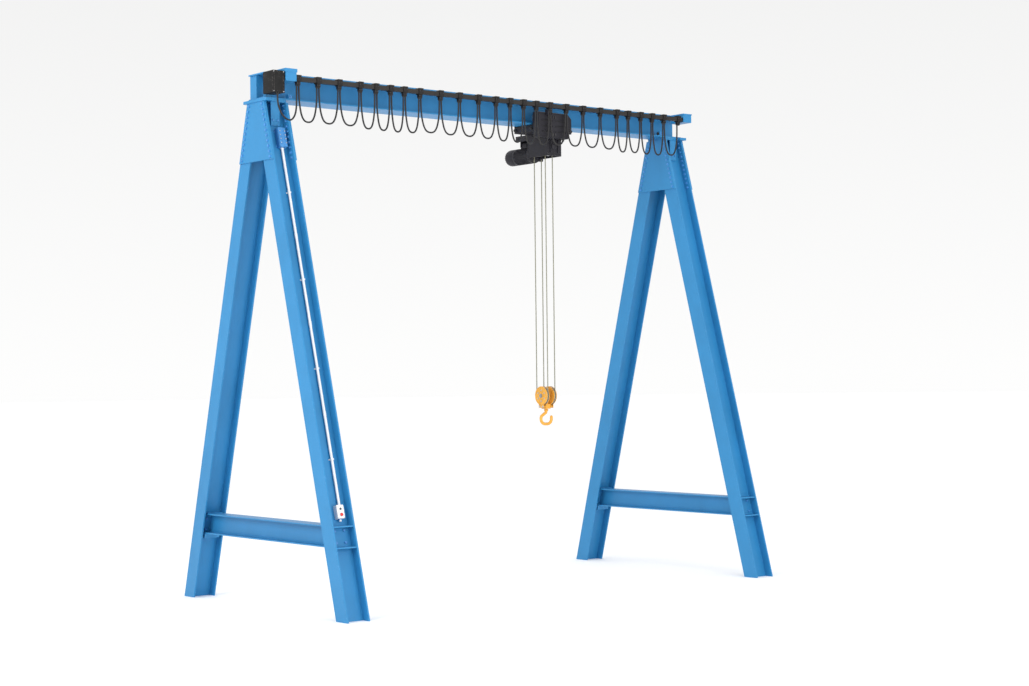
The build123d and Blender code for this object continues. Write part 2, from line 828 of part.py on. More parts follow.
# Hoist frame below the trolley's deck.
hoist_top = deck_z - seat_gap
beam_low = hoist_top - hoist_beam
frame_low = height + hoist_bottom
drum_height = height + drum_z
drum_middle = trolley_x + drum_x
sheave_height = height + return_sheave_z
carrier_plate_y = (drum_front_y - 12, drum_front_y - 4)
with BuildPart() as hoist_frame:
    xs = (trolley_x + hoist_left, trolley_x + hoist_right)
    ys = (hoist_front_y, hoist_back_y)
    block(xs, ys, (hoist_top - 16, hoist_top))
    for x, inward in ((xs[0], 1), (xs[1], -1)):
        block((x, x + inward * hoist_plate), ys, (beam_low, hoist_top))
    back_y = drum_back_y + 5
    for y in (hoist_front_y, back_y):
        block(xs, (y, y + hoist_plate), (frame_low, hoist_top))
    for x, inward in ((xs[0], 1), (xs[1], -1)):
        skirt = (hoist_front_y + 1, back_y + 1)
        block((x, x + inward * hoist_skirt), skirt, (frame_low, beam_low + 1))
    plate_x = (trolley_x - 40, trolley_x + 62)
    block(plate_x, carrier_plate_y, (sheave_height - 30, hoist_top))
    block((trolley_x - 60, trolley_x + 60), (ys[1] - 40, ys[1] - 28), (beam_low - 62, hoist_top))
    reach = carrier_plate_y[1] - hoist_front_y
    rod((trolley_x, hoist_front_y, sheave_height), (0, 1, 0), return_axle_radius, reach)
    anchor_x = trolley_x + fall_x
    anchor_low = height + anchor_z
    block((anchor_x - 18, anchor_x + 18), (back_y - 31, back_y + 1), (anchor_low, frame_low + 8))
    for y in (carrier_plate_y[0] - 1, back_y - 1):
        start = (drum_middle, y, drum_height)
        rod(start, (0, 1, 0), journal_radius + running_gap, 15, Mode.SUBTRACT)
save(hoist_frame, "hoist_frame")

# Drum with its two flanges and journals.
with BuildPart() as drum:
    barrel = drum_pitch_radius - rope_radius - groove_gap
    length = drum_back_y - drum_front_y
    rod((drum_middle, drum_front_y, drum_height), (0, 1, 0), barrel, length)
    for y in (drum_front_y, drum_back_y - drum_flange):
        rod((drum_middle, y, drum_height), (0, 1, 0), drum_flange_radius, drum_flange)
    start = (drum_middle, carrier_plate_y[0], drum_height)
    ends = back_y + hoist_plate - carrier_plate_y[0]
    rod(start, (0, 1, 0), journal_radius, ends)
save(drum, "drum")

# Hoist motor with its gear case and domed end cover.
motor_height = height + motor_z
motor_y = back_y + hoist_plate + seat_gap
with BuildPart() as hoist_motor:
    xs = (trolley_x + hoist_left, trolley_x + hoist_right)
    zs = (motor_height - motor_radius + 20, beam_low - 10)
    block(xs, (motor_y, motor_y + gear_case), zs)
    fillet(hoist_motor.edges().filter_by(Axis.Y), 20)
    start = (trolley_x, motor_y + gear_case, motor_height)
    rod(start, (0, 1, 0), motor_radius, motor_length)
    end_y = start[1] + motor_length
    with BuildSketch(Plane(origin=(trolley_x, end_y, motor_height), z_dir=(1, 0, 0))):
        with BuildLine():
            arc = EllipticalCenterArc((0, 0), motor_dome, motor_radius, start_angle=0, arc_size=90)
            Polyline(arc @ 1, (0, 0), arc @ 0)
        make_face()
    revolve(axis=Axis((trolley_x, end_y, motor_height), (0, 1, 0)))
save(hoist_motor, "hoist_motor")


def make_sheave(centre, axis, pitch, bore):
    """Grooved rope sheave about an axis through its centre."""
    outer = pitch + sheave_rim
    groove = rope_radius + groove_gap
    half = sheave_thickness / 2
    plane = Plane(origin=centre, x_dir=(0, 0, 1), z_dir=axis)
    with BuildPart() as sheave:
        with BuildSketch(Plane(origin=centre, x_dir=(0, 0, 1), z_dir=plane.y_dir)):
            with Locations(((bore + outer) / 2, 0)):
                Rectangle(outer - bore, 2 * half)
            with Locations((pitch, 0)):
                Circle(groove, mode=Mode.SUBTRACT)
            with BuildLine():
                flare = groove + 0.45 * sheave_rim
                edge = [(pitch, groove), (outer + 1, flare), (outer + 1, -flare), (pitch, -groove)]
                Polyline(*edge, close=True)
            make_face(mode=Mode.SUBTRACT)
        revolve(axis=Axis(centre, axis))
    return sheave


centre = (trolley_x, -fall_y, sheave_height)
save(make_sheave(centre, (0, 1, 0), fall_x, return_axle_radius + running_gap), "return_sheave")
for name, sign in (("left", -1), ("right", 1)):
    centre = (trolley_x + sign * fall_x, 0, block_z)
    bore = block_axle_radius + running_gap
    save(make_sheave(centre, (1, 0, 0), fall_y, bore), f"{name}_block_sheave")

# Hoist rope: drum, left block sheave, return sheave, right block sheave, anchor.
with BuildPart() as rope_falls:
    left = trolley_x - fall_x
    right = trolley_x + fall_x
    with BuildLine() as path:
        Line((left, fall_y, drum_height), (left, fall_y, block_z))
        ThreePointArc((left, fall_y, block_z), (left, 0, block_z - fall_y), (left, -fall_y, block_z))
        Line((left, -fall_y, block_z), (left, -fall_y, sheave_height))
        over = (trolley_x, -fall_y, sheave_height + fall_x)
        ThreePointArc((left, -fall_y, sheave_height), over, (right, -fall_y, sheave_height))
        Line((right, -fall_y, sheave_height), (right, -fall_y, block_z))
        under = (right, 0, block_z - fall_y)
        ThreePointArc((right, -fall_y, block_z), under, (right, fall_y, block_z))
        Line((right, fall_y, block_z), (right, fall_y, height + anchor_z))
    with BuildSketch(Plane(origin=(left, fall_y, drum_height), z_dir=(0, 0, -1))):
        Circle(rope_radius)
    rope = path.wires()[0]
    sweep(path=rope)
    rope_length = rope.length
    ratio = rope_falls.part.volume / (math.pi * rope_radius**2 * rope_length)
    print(f"rope {rope_length:.0f} long, volume ratio {ratio:.4f}")
save(rope_falls, "rope_falls")

# Hook block frame: four round cheeks with tongues, spacers and the crosshead.
inner_face = fall_x - sheave_thickness / 2 - cheek_gap
outer_face = fall_x + sheave_thickness / 2 + cheek_gap
with BuildPart() as block_frame:
    for sign in (-1, 1):
        for near in (inner_face - cheek_thickness, outer_face):
            x = trolley_x + sign * (near if sign > 0 else near + cheek_thickness)
            with BuildSketch(Plane.YZ.offset(x)) as cheek:
                with Locations((0, block_z)):
                    Circle(cheek_radius)
                with Locations((0, block_z - tongue_drop / 2)):
                    Rectangle(tongue_width, tongue_drop)
                with Locations((0, block_z)):
                    Circle(block_axle_radius + hole_gap, mode=Mode.SUBTRACT)
            extrude(amount=cheek_thickness)
        for y in (-spacer_y, spacer_y):
            x = trolley_x + sign * (inner_face - 1)
            width = outer_face - inner_face + 2
            rod((x, y, block_z - spacer_drop), (sign, 0, 0), spacer_radius, width)
    xs = (trolley_x - inner_face + 1, trolley_x + inner_face - 1)
    ys = (-crosshead_depth / 2, crosshead_depth / 2)
    block(xs, ys, (block_z + crosshead_bottom, block_z + crosshead_top))
    start = (trolley_x, 0, block_z + crosshead_bottom - 1)
    rod(start, (0, 0, 1), shank_radius + running_gap, 70, Mode.SUBTRACT)
save(block_frame, "block_frame")

with BuildPart() as block_axle:
    half = outer_face + cheek_thickness + 2
    rod((trolley_x - half, 0, block_z), (1, 0, 0), block_axle_radius, 2 * half)
    for sign in (-1, 1):
        rod((trolley_x + sign * half, 0, block_z), (sign, 0, 0), block_axle_radius + 8, 8)
save(block_axle, "block_axle")

# Swivelling hook: shank and nut in the crosshead, shoulder, body and rounded tip.
with BuildPart() as hook:
    nut_low = block_z + crosshead_top + seat_gap
    shoulder = block_z + crosshead_bottom - seat_gap
    rod((trolley_x, 0, shoulder - 2), (0, 0, 1), shank_radius, nut_low - shoulder + 12)
    with BuildSketch(Plane.XY.offset(nut_low)):
        with Locations((trolley_x, 0)):
            RegularPolygon(shank_nut_radius, 6)
    extrude(amount=shank_nut_height)
    outline = [(0, crosshead_bottom - seat_gap), (0, hook_shoulder), (-hook_half_width, hook_side)]
    outline += [(-hook_half_width, hook_bottom), (hook_half_width, hook_bottom)]
    outline += [(hook_half_width, hook_tip)]
    points = [(trolley_x + x, 0, block_z + z) for x, z in outline]
    with BuildLine() as path:
        FilletPolyline(*points, radius=[28, 36, 60, 60])
    with BuildSketch(Plane(origin=points[0], z_dir=(0, 0, -1))):
        Circle(hook_radius)
    sweep(path=path.wires()[0])
    with Locations(points[-1]):
        Sphere(hook_radius)
save(hook, "hook")
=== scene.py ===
import math

import bmesh
import bpy
from mathutils import Matrix, Vector


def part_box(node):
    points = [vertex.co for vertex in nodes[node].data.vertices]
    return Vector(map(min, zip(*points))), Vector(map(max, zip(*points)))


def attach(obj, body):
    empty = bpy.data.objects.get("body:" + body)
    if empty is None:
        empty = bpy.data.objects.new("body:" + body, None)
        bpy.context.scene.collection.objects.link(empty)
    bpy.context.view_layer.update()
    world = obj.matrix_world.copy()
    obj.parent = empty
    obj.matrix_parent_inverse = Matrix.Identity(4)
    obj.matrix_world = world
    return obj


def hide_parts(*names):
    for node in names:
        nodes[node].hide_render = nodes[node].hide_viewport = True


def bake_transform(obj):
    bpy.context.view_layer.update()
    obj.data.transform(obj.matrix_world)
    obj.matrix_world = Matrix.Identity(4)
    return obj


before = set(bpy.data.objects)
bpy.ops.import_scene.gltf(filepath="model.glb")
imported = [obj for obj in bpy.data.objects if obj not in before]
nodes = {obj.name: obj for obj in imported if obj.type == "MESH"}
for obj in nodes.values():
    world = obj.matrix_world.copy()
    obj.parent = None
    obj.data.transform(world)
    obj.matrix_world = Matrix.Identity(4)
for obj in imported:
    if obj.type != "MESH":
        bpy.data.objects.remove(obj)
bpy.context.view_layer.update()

# Sizes shared with the part, in metres
SPAN = 5.636
GIRDER_HALF = 2.95
END_INSET = 0.018  # girder's closing plates from its ends
RAIL_Y = -0.33
RAIL_Z = 5.405
LEAN = 0.272617
WEB_MIDDLE = 1.475
HALF_WEB = 0.005
STOP_X = 2.63
SEAT_GAP = 0.0003
HALF_LEG = 0.132
LEG_TOP = 5.1794
HEAD_UNDER = 5.1797
HALF_GIRDER_WIDTH = 0.15
GUSSET_HEIGHT = 0.606
GUSSET = 0.012
GUSSET_BOLTS = 11  # along one edge
BOLT_END = 0.028  # first and last gusset bolts from the ends
BOLT_LINE = 0.055  # gusset bolts outwards from the web's middle
TROLLEY_X = 0.885
BLOCK_Z = 2.115
FALL_X = 0.053
FALL_Y = 0.098
MM = 0.001

# ---------------------------------------------------------------- shapes


def add_shape(piece, shape, place=None, finish=0):
    """Puts a finished shape into a piece, placed by a matrix, with one of the piece's finishes."""
    if place is not None:
        shape.transform(place)
    for face in shape.faces:
        face.material_index = finish
    mesh = bpy.data.meshes.new("shape")
    shape.to_mesh(mesh)
    shape.free()
    piece.from_mesh(mesh)
    bpy.data.meshes.remove(mesh)


def soften(shape, edges, width, steps=2):
    """Rounds edges of a shape."""
    bmesh.ops.bevel(
        shape,
        geom=edges,
        offset=width,
        offset_type="OFFSET",
        segments=steps,
        profile=0.5,
        affect="EDGES",
        clamp_overlap=True,
        material=-1,
    )


def block(low, high, edge=0.0, steps=2):
    """Box between two corners, with all its edges rounded."""
    shape = bmesh.new()
    bmesh.ops.create_cube(shape, size=1)
    size = [b - a for a, b in zip(low, high)]
    middle = [(a + b) / 2 for a, b in zip(low, high)]
    bmesh.ops.scale(shape, vec=size, verts=shape.verts)
    bmesh.ops.translate(shape, vec=middle, verts=shape.verts)
    if edge:
        soften(shape, shape.edges[:], edge, steps)
    return shape


def turned(outline, sides=32):
    """Lathe shape about Z from points of radius and height."""
    shape = bmesh.new()
    points = [shape.verts.new((r, 0, z)) for r, z in outline]
    lines = [shape.edges.new(pair) for pair in zip(points, points[1:])]
    bmesh.ops.spin(
        shape,
        geom=points + lines,
        cent=(0, 0, 0),
        axis=(0, 0, 1),
        angle=math.tau,
        steps=sides,
        use_merge=True,
    )
    bmesh.ops.remove_doubles(shape, verts=shape.verts, dist=1e-6)
    bmesh.ops.recalc_face_normals(shape, faces=shape.faces)
    return shape


def rod(radius, length, edge=0.0, sides=24):
    """Round bar along +Z with chamfered ends."""
    e = edge
    outline = [(0, 0), (radius - e, 0)]
    if e:
        outline += [(radius - 0.3 * e, 0.3 * e), (radius, e), (radius, length - e)]
        outline += [(radius - 0.3 * e, length - 0.3 * e), (radius - e, length)]
    else:
        outline += [(radius, length)]
    outline += [(0, length)]
    return turned(outline, sides)


def ring(radius, bar, sides=40, around=10):
    """Round ring about Z."""
    steps = [math.tau * i / around for i in range(around + 1)]
    return turned([(radius + bar * math.cos(a), bar * math.sin(a)) for a in steps], sides)


def hexagon(flats, height):
    """Hexagon head along +Z with rounded corners on top."""
    shape = bmesh.new()
    across = flats / math.sqrt(3)
    bmesh.ops.create_cone(
        shape, cap_ends=True, segments=6, radius1=across, radius2=across, depth=height
    )
    bmesh.ops.translate(shape, vec=(0, 0, height / 2), verts=shape.verts)
    top = [e for e in shape.edges if all(v.co.z > height * 0.9 for v in e.verts)]
    soften(shape, top, height * 0.16, 1)
    return shape


def add_bolt(piece, spot, axis, flats, height=None, finish=0):
    """Washer, hexagon head and thread end on a face."""
    height = height or 0.62 * flats
    place = facing(spot, axis)
    add_shape(piece, rod(flats * 0.98, flats * 0.13, flats * 0.03, 16), place, finish)
    raised = place @ Matrix.Translation((0, 0, flats * 0.13))
    add_shape(piece, hexagon(flats, height), raised, finish)
    thread = rod(flats * 0.31, height * 0.28, flats * 0.05, 12)
    add_shape(piece, thread, raised @ Matrix.Translation((0, 0, height * 0.98)), finish)


def add_screw(piece, spot, axis, radius, finish=0):
    """Low round screw head with a recess."""
    outline = [(0, 0.3 * radius), (0.34 * radius, 0.3 * radius), (0.4 * radius, 0.66 * radius)]
    outline += [(0.75 * radius, 0.6 * radius), (radius, 0.3 * radius), (radius, 0)]
    add_shape(piece, turned(outline, 12), facing(spot, axis), finish)


def facing(spot, axis):
    """Place whose Z points along an axis and whose Y is as near as it can be to up."""
    z = Vector(axis).normalized()
    up = Vector((0, 0, 1))
    if abs(z.dot(up)) > 0.99:
        up = Vector((0, 1, 0))
    x = up.cross(z).normalized()
    y = z.cross(x)
    place = Matrix((x, y, z)).transposed().to_4x4()
    place.translation = Vector(spot)
    return place


def smooth_mesh(mesh, sharp):
    """Smooth faces that keep a crease at corners sharper than an angle."""
    mesh.polygons.foreach_set("use_smooth", [True] * len(mesh.polygons))
    mesh.set_sharp_from_angle(angle=math.radians(sharp))


def make_piece(name, shape, finishes, body=None, sharp=38, stands_for=()):
    """Turns a finished shape into an object that rides on a body."""
    mesh = bpy.data.meshes.new(name)
    shape.to_mesh(mesh)
    shape.free()
    for finish in finishes:
        mesh.materials.append(finish)
    smooth_mesh(mesh, sharp)
    piece = bpy.data.objects.new(name, mesh)
    bpy.context.scene.collection.objects.link(piece)
    if body:
        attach(piece, body)
    if stands_for:
        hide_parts(*stands_for)
    return piece


# ------------------------------------------------------------- materials


class Graph:
    """Adds nodes to one tree. Inputs are values or the outputs of other nodes."""

    def __init__(self, tree):
        self.tree = tree

    def add(self, kind, inputs=None, **settings):
        node = self.tree.nodes.new(kind)
        for key, value in settings.items():
            setattr(node, key, value)
        for key, value in (inputs or {}).items():
            socket = node.inputs[key]
            if isinstance(value, bpy.types.NodeSocket):
                self.tree.links.new(value, socket)
            else:
                socket.default_value = value
        return node

    def math(self, operation, a, b=0.0, clamp=False):
        inputs = {0: a, 1: b}
        return self.add("ShaderNodeMath", inputs, operation=operation, use_clamp=clamp).outputs[0]

    def noise(self, vector, scale, detail=3.0, roughness=0.5):
        inputs = {"Vector": vector, "Scale": scale, "Detail": detail, "Roughness": roughness}
        return self.add("ShaderNodeTexNoise", inputs).outputs["Fac"]

    def stretch(self, vector, low, high, to_low=0.0, to_high=1.0):
        inputs = {"Value": vector, "From Min": low, "From Max": high}
        inputs.update({"To Min": to_low, "To Max": to_high})
        return self.add("ShaderNodeMapRange", inputs, clamp=True).outputs["Result"]

    def mix(self, share, a, b, blend="MIX"):
        inputs = {0: share, 6: a, 7: b}
        node = self.add("ShaderNodeMix", inputs, data_type="RGBA", blend_type=blend)
        return node.outputs[2]

    def group(self, tree, inputs):
        node = self.add("ShaderNodeGroup", node_tree=tree)
        for key, value in inputs.items():
            if isinstance(value, bpy.types.NodeSocket):
                self.tree.links.new(value, node.inputs[key])
            else:
                node.inputs[key].default_value = value
        return node


def new_group(name, inputs, outputs):
    """Shader node group with number inputs and named outputs."""
    tree = bpy.data.node_groups.new(name, "ShaderNodeTree")
    for label, value in inputs.items():
        kind = "NodeSocketColor" if isinstance(value, tuple) else "NodeSocketFloat"
        socket = tree.interface.new_socket(label, in_out="INPUT", socket_type=kind)
        socket.default_value = value
    for label, kind in outputs.items():
        tree.interface.new_socket(label, in_out="OUTPUT", socket_type=kind)
    graph = Graph(tree)
    return graph, graph.add("NodeGroupInput").outputs, graph.add("NodeGroupOutput").inputs


def join(graph, value, socket):
    graph.tree.links.new(value, socket)


def make_edge_wear():
    """Mask of paint rubbed off the corners, broken up by noise."""
    inputs = {"Radius": 0.004, "Amount": 0.5, "Scale": 30.0}
    graph, given, result = new_group("edge_wear", inputs, {"Mask": "NodeSocketFloat"})
    place = graph.add("ShaderNodeTexCoord").outputs["Object"]
    rounded = graph.add("ShaderNodeBevel", {"Radius": given["Radius"]}, samples=4)
    flat = graph.add("ShaderNodeNewGeometry").outputs["Normal"]
    across = graph.add(
        "ShaderNodeVectorMath", {0: rounded.outputs["Normal"], 1: flat}, operation="DOT_PRODUCT"
    )
    corner = graph.stretch(across.outputs["Value"], 0.995, 0.85)
    patches = graph.noise(place, given["Scale"], 4.0, 0.65)
    threshold = graph.math("SUBTRACT", 0.78, graph.math("MULTIPLY", given["Amount"], 0.4))
    edge = graph.math("SUBTRACT", patches, threshold)
    broken = graph.math("MULTIPLY", edge, 9.0, clamp=True)
    join(graph, graph.math("MULTIPLY", corner, broken), result["Mask"])
    return graph.tree


def make_tone():
    """Broad uneven tone, fine speckle and runs down the piece, each from 0 to 1."""
    inputs = {"Broad": 1.5, "Fine": 90.0, "Runs": 6.0}
    outputs = {"Tone": "NodeSocketFloat", "Speckle": "NodeSocketFloat", "Streak": "NodeSocketFloat"}
    graph, given, result = new_group("paint_tone", inputs, outputs)
    place = graph.add("ShaderNodeTexCoord").outputs["Object"]
    join(graph, graph.noise(place, given["Broad"], 5.0, 0.6), result["Tone"])
    join(graph, graph.noise(place, given["Fine"], 2.0, 0.5), result["Speckle"])
    drawn = graph.add("ShaderNodeMapping", {"Vector": place, "Scale": (1.0, 1.0, 0.06)})
    runs = graph.noise(drawn.outputs["Vector"], given["Runs"], 4.0, 0.6)
    join(graph, graph.stretch(runs, 0.5, 0.8), result["Streak"])
    return graph.tree


def make_dust():
    """Mask of dust that has settled on faces that look up."""
    inputs = {"Amount": 0.4, "Scale": 7.0}
    graph, given, result = new_group("settled_dust", inputs, {"Mask": "NodeSocketFloat"})
    place = graph.add("ShaderNodeTexCoord").outputs["Object"]
    normal = graph.add("ShaderNodeNewGeometry").outputs["Normal"]
    up = graph.add("ShaderNodeSeparateXYZ", {"Vector": normal}).outputs["Z"]
    upward = graph.stretch(up, 0.35, 0.95)
    clouds = graph.stretch(graph.noise(place, given["Scale"], 5.0, 0.62), 0.35, 0.75)
    both = graph.math("MULTIPLY", upward, clouds)
    join(graph, graph.math("MULTIPLY", both, given["Amount"], clamp=True), result["Mask"])
    return graph.tree


def make_scuffs():
    """Mask of thin scratches that run two ways, only in rubbed patches."""
    inputs = {"Scale": 14.0, "Amount": 0.5}
    graph, given, result = new_group("scuffs", inputs, {"Mask": "NodeSocketFloat"})
    place = graph.add("ShaderNodeTexCoord").outputs["Object"]
    patches = graph.noise(place, given["Scale"], 3.0, 0.6)
    threshold = graph.math("SUBTRACT", 0.8, graph.math("MULTIPLY", given["Amount"], 0.4))
    rubbed = graph.math("MULTIPLY", graph.math("SUBTRACT", patches, threshold), 6.0, clamp=True)
    lines = None
    for turn, width in ((0.5, 0.05), (-0.9, 0.04)):
        inputs = {"Vector": place, "Rotation": (turn, 0.7 * turn, 0.3), "Scale": (1.0, 0.08, 1.0)}
        drawn = graph.add("ShaderNodeMapping", inputs).outputs["Vector"]
        grain = graph.noise(drawn, 260.0, 2.0, 0.5)
        line = graph.stretch(grain, 0.62, 0.62 + width)
        lines = line if lines is None else graph.math("MAXIMUM", lines, line)
    join(graph, graph.math("MULTIPLY", rubbed, lines), result["Mask"])
    return graph.tree


EDGE_WEAR = make_edge_wear()
PAINT_TONE = make_tone()
SETTLED_DUST = make_dust()
SCUFFS = make_scuffs()


def new_material(name, roughness=0.5, metallic=0.0, coat=0.0, specular=0.5):
    """Empty Principled material. Values that are the same all over sit on the shader's own sockets."""
    material = bpy.data.materials.new(name)
    material.use_nodes = True
    tree = material.node_tree
    tree.nodes.clear()
    graph = Graph(tree)
    shader = graph.add("ShaderNodeBsdfPrincipled")
    shader.inputs["Roughness"].default_value = roughness
    shader.inputs["Metallic"].default_value = metallic
    shader.inputs["Coat Weight"].default_value = coat
    shader.inputs["Coat Roughness"].default_value = 0.25
    shader.inputs["Specular IOR Level"].default_value = specular
    output = graph.add("ShaderNodeOutputMaterial")
    tree.links.new(shader.outputs["BSDF"], output.inputs["Surface"])
    return material, graph, shader.inputs


def coloured(
    name,
    colour,
    rubbed,
    roughness=0.45,
    metallic=0.0,
    coat=0.0,
    specular=0.5,
    variety=0.12,
    wear=0.4,
    wear_radius=0.004,
    wear_scale=30.0,
    dust=0.25,
    dust_colour=(0.55, 0.53, 0.5, 1),
    streak=0.15,
    broad=1.5,
    grain=400.0,
    grain_height=0.15,
    scuff=0.0,
):
    """Finish with uneven tone, worn corners, dust, runs, scuffs and a fine grain."""
    material, graph, shader = new_material(name, roughness, metallic, coat, specular)
    tone = graph.group(PAINT_TONE, {"Broad": broad}).outputs
    darker = tuple(c * (1 - variety) for c in colour[:3]) + (1,)
    lighter = tuple(min(1, c * (1 + variety)) for c in colour[:3]) + (1,)
    base = graph.mix(graph.stretch(tone["Tone"], 0.3, 0.7), darker, lighter)
    weathered = tuple(0.72 * c for c in colour[:3]) + (1,)
    base = graph.mix(graph.math("MULTIPLY", tone["Streak"], streak), base, weathered)
    masks = []
    if dust:
        mask = graph.group(SETTLED_DUST, {"Amount": dust}).outputs["Mask"]
        base = graph.mix(mask, base, dust_colour)
        masks.append((mask, 0.35))
    if scuff:
        mask = graph.group(SCUFFS, {"Amount": scuff}).outputs["Mask"]
        base = graph.mix(graph.math("MULTIPLY", mask, 0.75), base, rubbed)
        masks.append((mask, 0.1))
    if wear:
        inputs = {"Amount": wear, "Radius": wear_radius, "Scale": wear_scale}
        mask = graph.group(EDGE_WEAR, inputs).outputs["Mask"]
        base = graph.mix(mask, base, rubbed)
        masks.append((mask, -0.08))
    join(graph, base, shader["Base Color"])
    rough = graph.stretch(tone["Speckle"], 0.3, 0.7, roughness - 0.06, roughness + 0.08)
    for mask, change in masks:
        rough = graph.math("ADD", rough, graph.math("MULTIPLY", mask, change), clamp=True)
    join(graph, rough, shader["Roughness"])
    place = graph.add("ShaderNodeTexCoord").outputs["Object"]
    fine = graph.noise(place, grain, 2.0, 0.55)
    inputs = {"Height": fine, "Strength": grain_height, "Distance": 0.0006}
    join(graph, graph.add("ShaderNodeBump", inputs).outputs["Normal"], shader["Normal"])
    return material


BLUE = (0.027, 0.222, 0.475, 1)
blue_paint = coloured(
    "blue_paint", BLUE, (0.16, 0.38, 0.68, 1), roughness=0.42, coat=0.06, specular=0.32,
    variety=0.07, wear=0.55, wear_radius=0.006, wear_scale=22.0, dust=0.12,
    dust_colour=(0.42, 0.62, 0.85, 1), streak=0.2, grain=330.0, grain_height=0.2,
)
blue_bolts = coloured(
    "blue_painted_bolts", (0.05, 0.24, 0.56, 1), (0.3, 0.42, 0.55, 1), roughness=0.4, coat=0.1,
    variety=0.1, wear=0.7, wear_radius=0.002, wear_scale=160.0, dust=0.15, streak=0.0, broad=9.0,
)
blue_box_paint = coloured(
    "blue_box_paint", (0.045, 0.23, 0.54, 1), (0.25, 0.45, 0.7, 1), roughness=0.5, variety=0.1,
    wear=0.6, wear_radius=0.002, wear_scale=120.0, dust=0.2, broad=8.0,
)
zinc = coloured(
    "zinc_plating", (0.55, 0.56, 0.57, 1), (0.75, 0.75, 0.75, 1), roughness=0.38, metallic=0.9,
    variety=0.2, wear=0.3, wear_radius=0.001, wear_scale=200.0, dust=0.1, streak=0.0, broad=60.0,
)
dark_bolts = coloured(
    "blackened_bolts", (0.045, 0.043, 0.047, 1), (0.3, 0.3, 0.3, 1), roughness=0.42, metallic=0.5,
    variety=0.25, wear=0.4, wear_radius=0.001, wear_scale=200.0, dust=0.2,
    dust_colour=(0.2, 0.19, 0.19, 1), streak=0.0, broad=40.0,
)
rail_finish = coloured(
    "dark_rail", (0.02, 0.017, 0.015, 1), (0.2, 0.18, 0.16, 1), roughness=0.42, metallic=0.3,
    variety=0.25, wear=0.6, wear_radius=0.003, wear_scale=60.0, dust=0.35,
    dust_colour=(0.2, 0.18, 0.16, 1), streak=0.0, broad=5.0,
)
carrier_plastic = coloured(
    "carrier_plastic", (0.01, 0.0085, 0.008, 1), (0.06, 0.05, 0.042, 1), roughness=0.55,
    specular=0.3, variety=0.3, wear=0.5, wear_radius=0.002, wear_scale=120.0, dust=0.22,
    dust_colour=(0.16, 0.14, 0.12, 1), streak=0.0, broad=12.0, grain=900.0, grain_height=0.35,
)
box_black = coloured(
    "scuffed_black_box", (0.008, 0.0078, 0.0078, 1), (0.24, 0.22, 0.21, 1), roughness=0.62,
    specular=0.25, variety=0.35, wear=0.75, wear_radius=0.005, wear_scale=70.0, dust=0.2,
    dust_colour=(0.18, 0.17, 0.16, 1), streak=0.1, broad=14.0, grain=500.0, grain_height=0.6,
    scuff=0.6,
)
hoist_paint = coloured(
    "dark_grey_paint", (0.018, 0.017, 0.023, 1), (0.16, 0.15, 0.17, 1), roughness=0.5,
    specular=0.28, variety=0.16, wear=0.55, wear_radius=0.003, wear_scale=60.0, dust=0.25,
    dust_colour=(0.15, 0.14, 0.18, 1), streak=0.3, broad=5.0, grain=420.0, grain_height=0.3,
    scuff=0.25,
)
# Near-black that stands for shade: painted shade in gaps, joints, slots and behind louvres.
painted_shade_black = coloured(
    "painted_shade_black", (0.012, 0.012, 0.014, 1), (0.05, 0.05, 0.05, 1), roughness=0.7, wear=0.0,
    dust=0.1, streak=0.0,
)
rubber = coloured(
    "buffer_rubber", (0.018, 0.018, 0.018, 1), (0.06, 0.06, 0.06, 1), roughness=0.75,
    variety=0.25, wear=0.3, wear_radius=0.002, dust=0.25, streak=0.0, broad=20.0, grain=700.0,
    grain_height=0.5,
)
white_plastic = coloured(
    "white_plastic", (0.8, 0.81, 0.82, 1), (0.62, 0.62, 0.6, 1), roughness=0.36, coat=0.08,
    variety=0.03, wear=0.25, wear_radius=0.002, wear_scale=80.0, dust=0.12,
    dust_colour=(0.6, 0.58, 0.54, 1), streak=0.12, broad=4.0, grain=600.0, grain_height=0.15,
)
red_plastic = coloured(
    "red_plastic", (0.62, 0.025, 0.02, 1), (0.75, 0.2, 0.15, 1), roughness=0.3, coat=0.2,
    variety=0.1, wear=0.2, wear_radius=0.001, wear_scale=200.0, dust=0.1, streak=0.0, broad=30.0,
)
button_black = coloured(
    "button_black", (0.03, 0.035, 0.05, 1), (0.15, 0.15, 0.16, 1), roughness=0.34, coat=0.15,
    variety=0.1, wear=0.2, wear_radius=0.001, wear_scale=200.0, dust=0.1, streak=0.0, broad=30.0,
)
machined_steel = coloured(
    "machined_steel", (0.36, 0.36, 0.37, 1), (0.6, 0.6, 0.6, 1), roughness=0.36, metallic=0.95,
    variety=0.2, wear=0.4, wear_radius=0.002, wear_scale=120.0, dust=0.15, streak=0.1, broad=18.0,
    grain=800.0, grain_height=0.25, scuff=0.4,
)
hook_yellow = coloured(
    "hook_yellow", (0.74, 0.36, 0.04, 1), (0.34, 0.24, 0.14, 1), roughness=0.42, coat=0.1,
    variety=0.13, wear=0.5, wear_radius=0.003, wear_scale=90.0, dust=0.2,
    dust_colour=(0.7, 0.55, 0.3, 1), streak=0.2, broad=10.0, grain=300.0, grain_height=0.3,
    scuff=0.3,
)


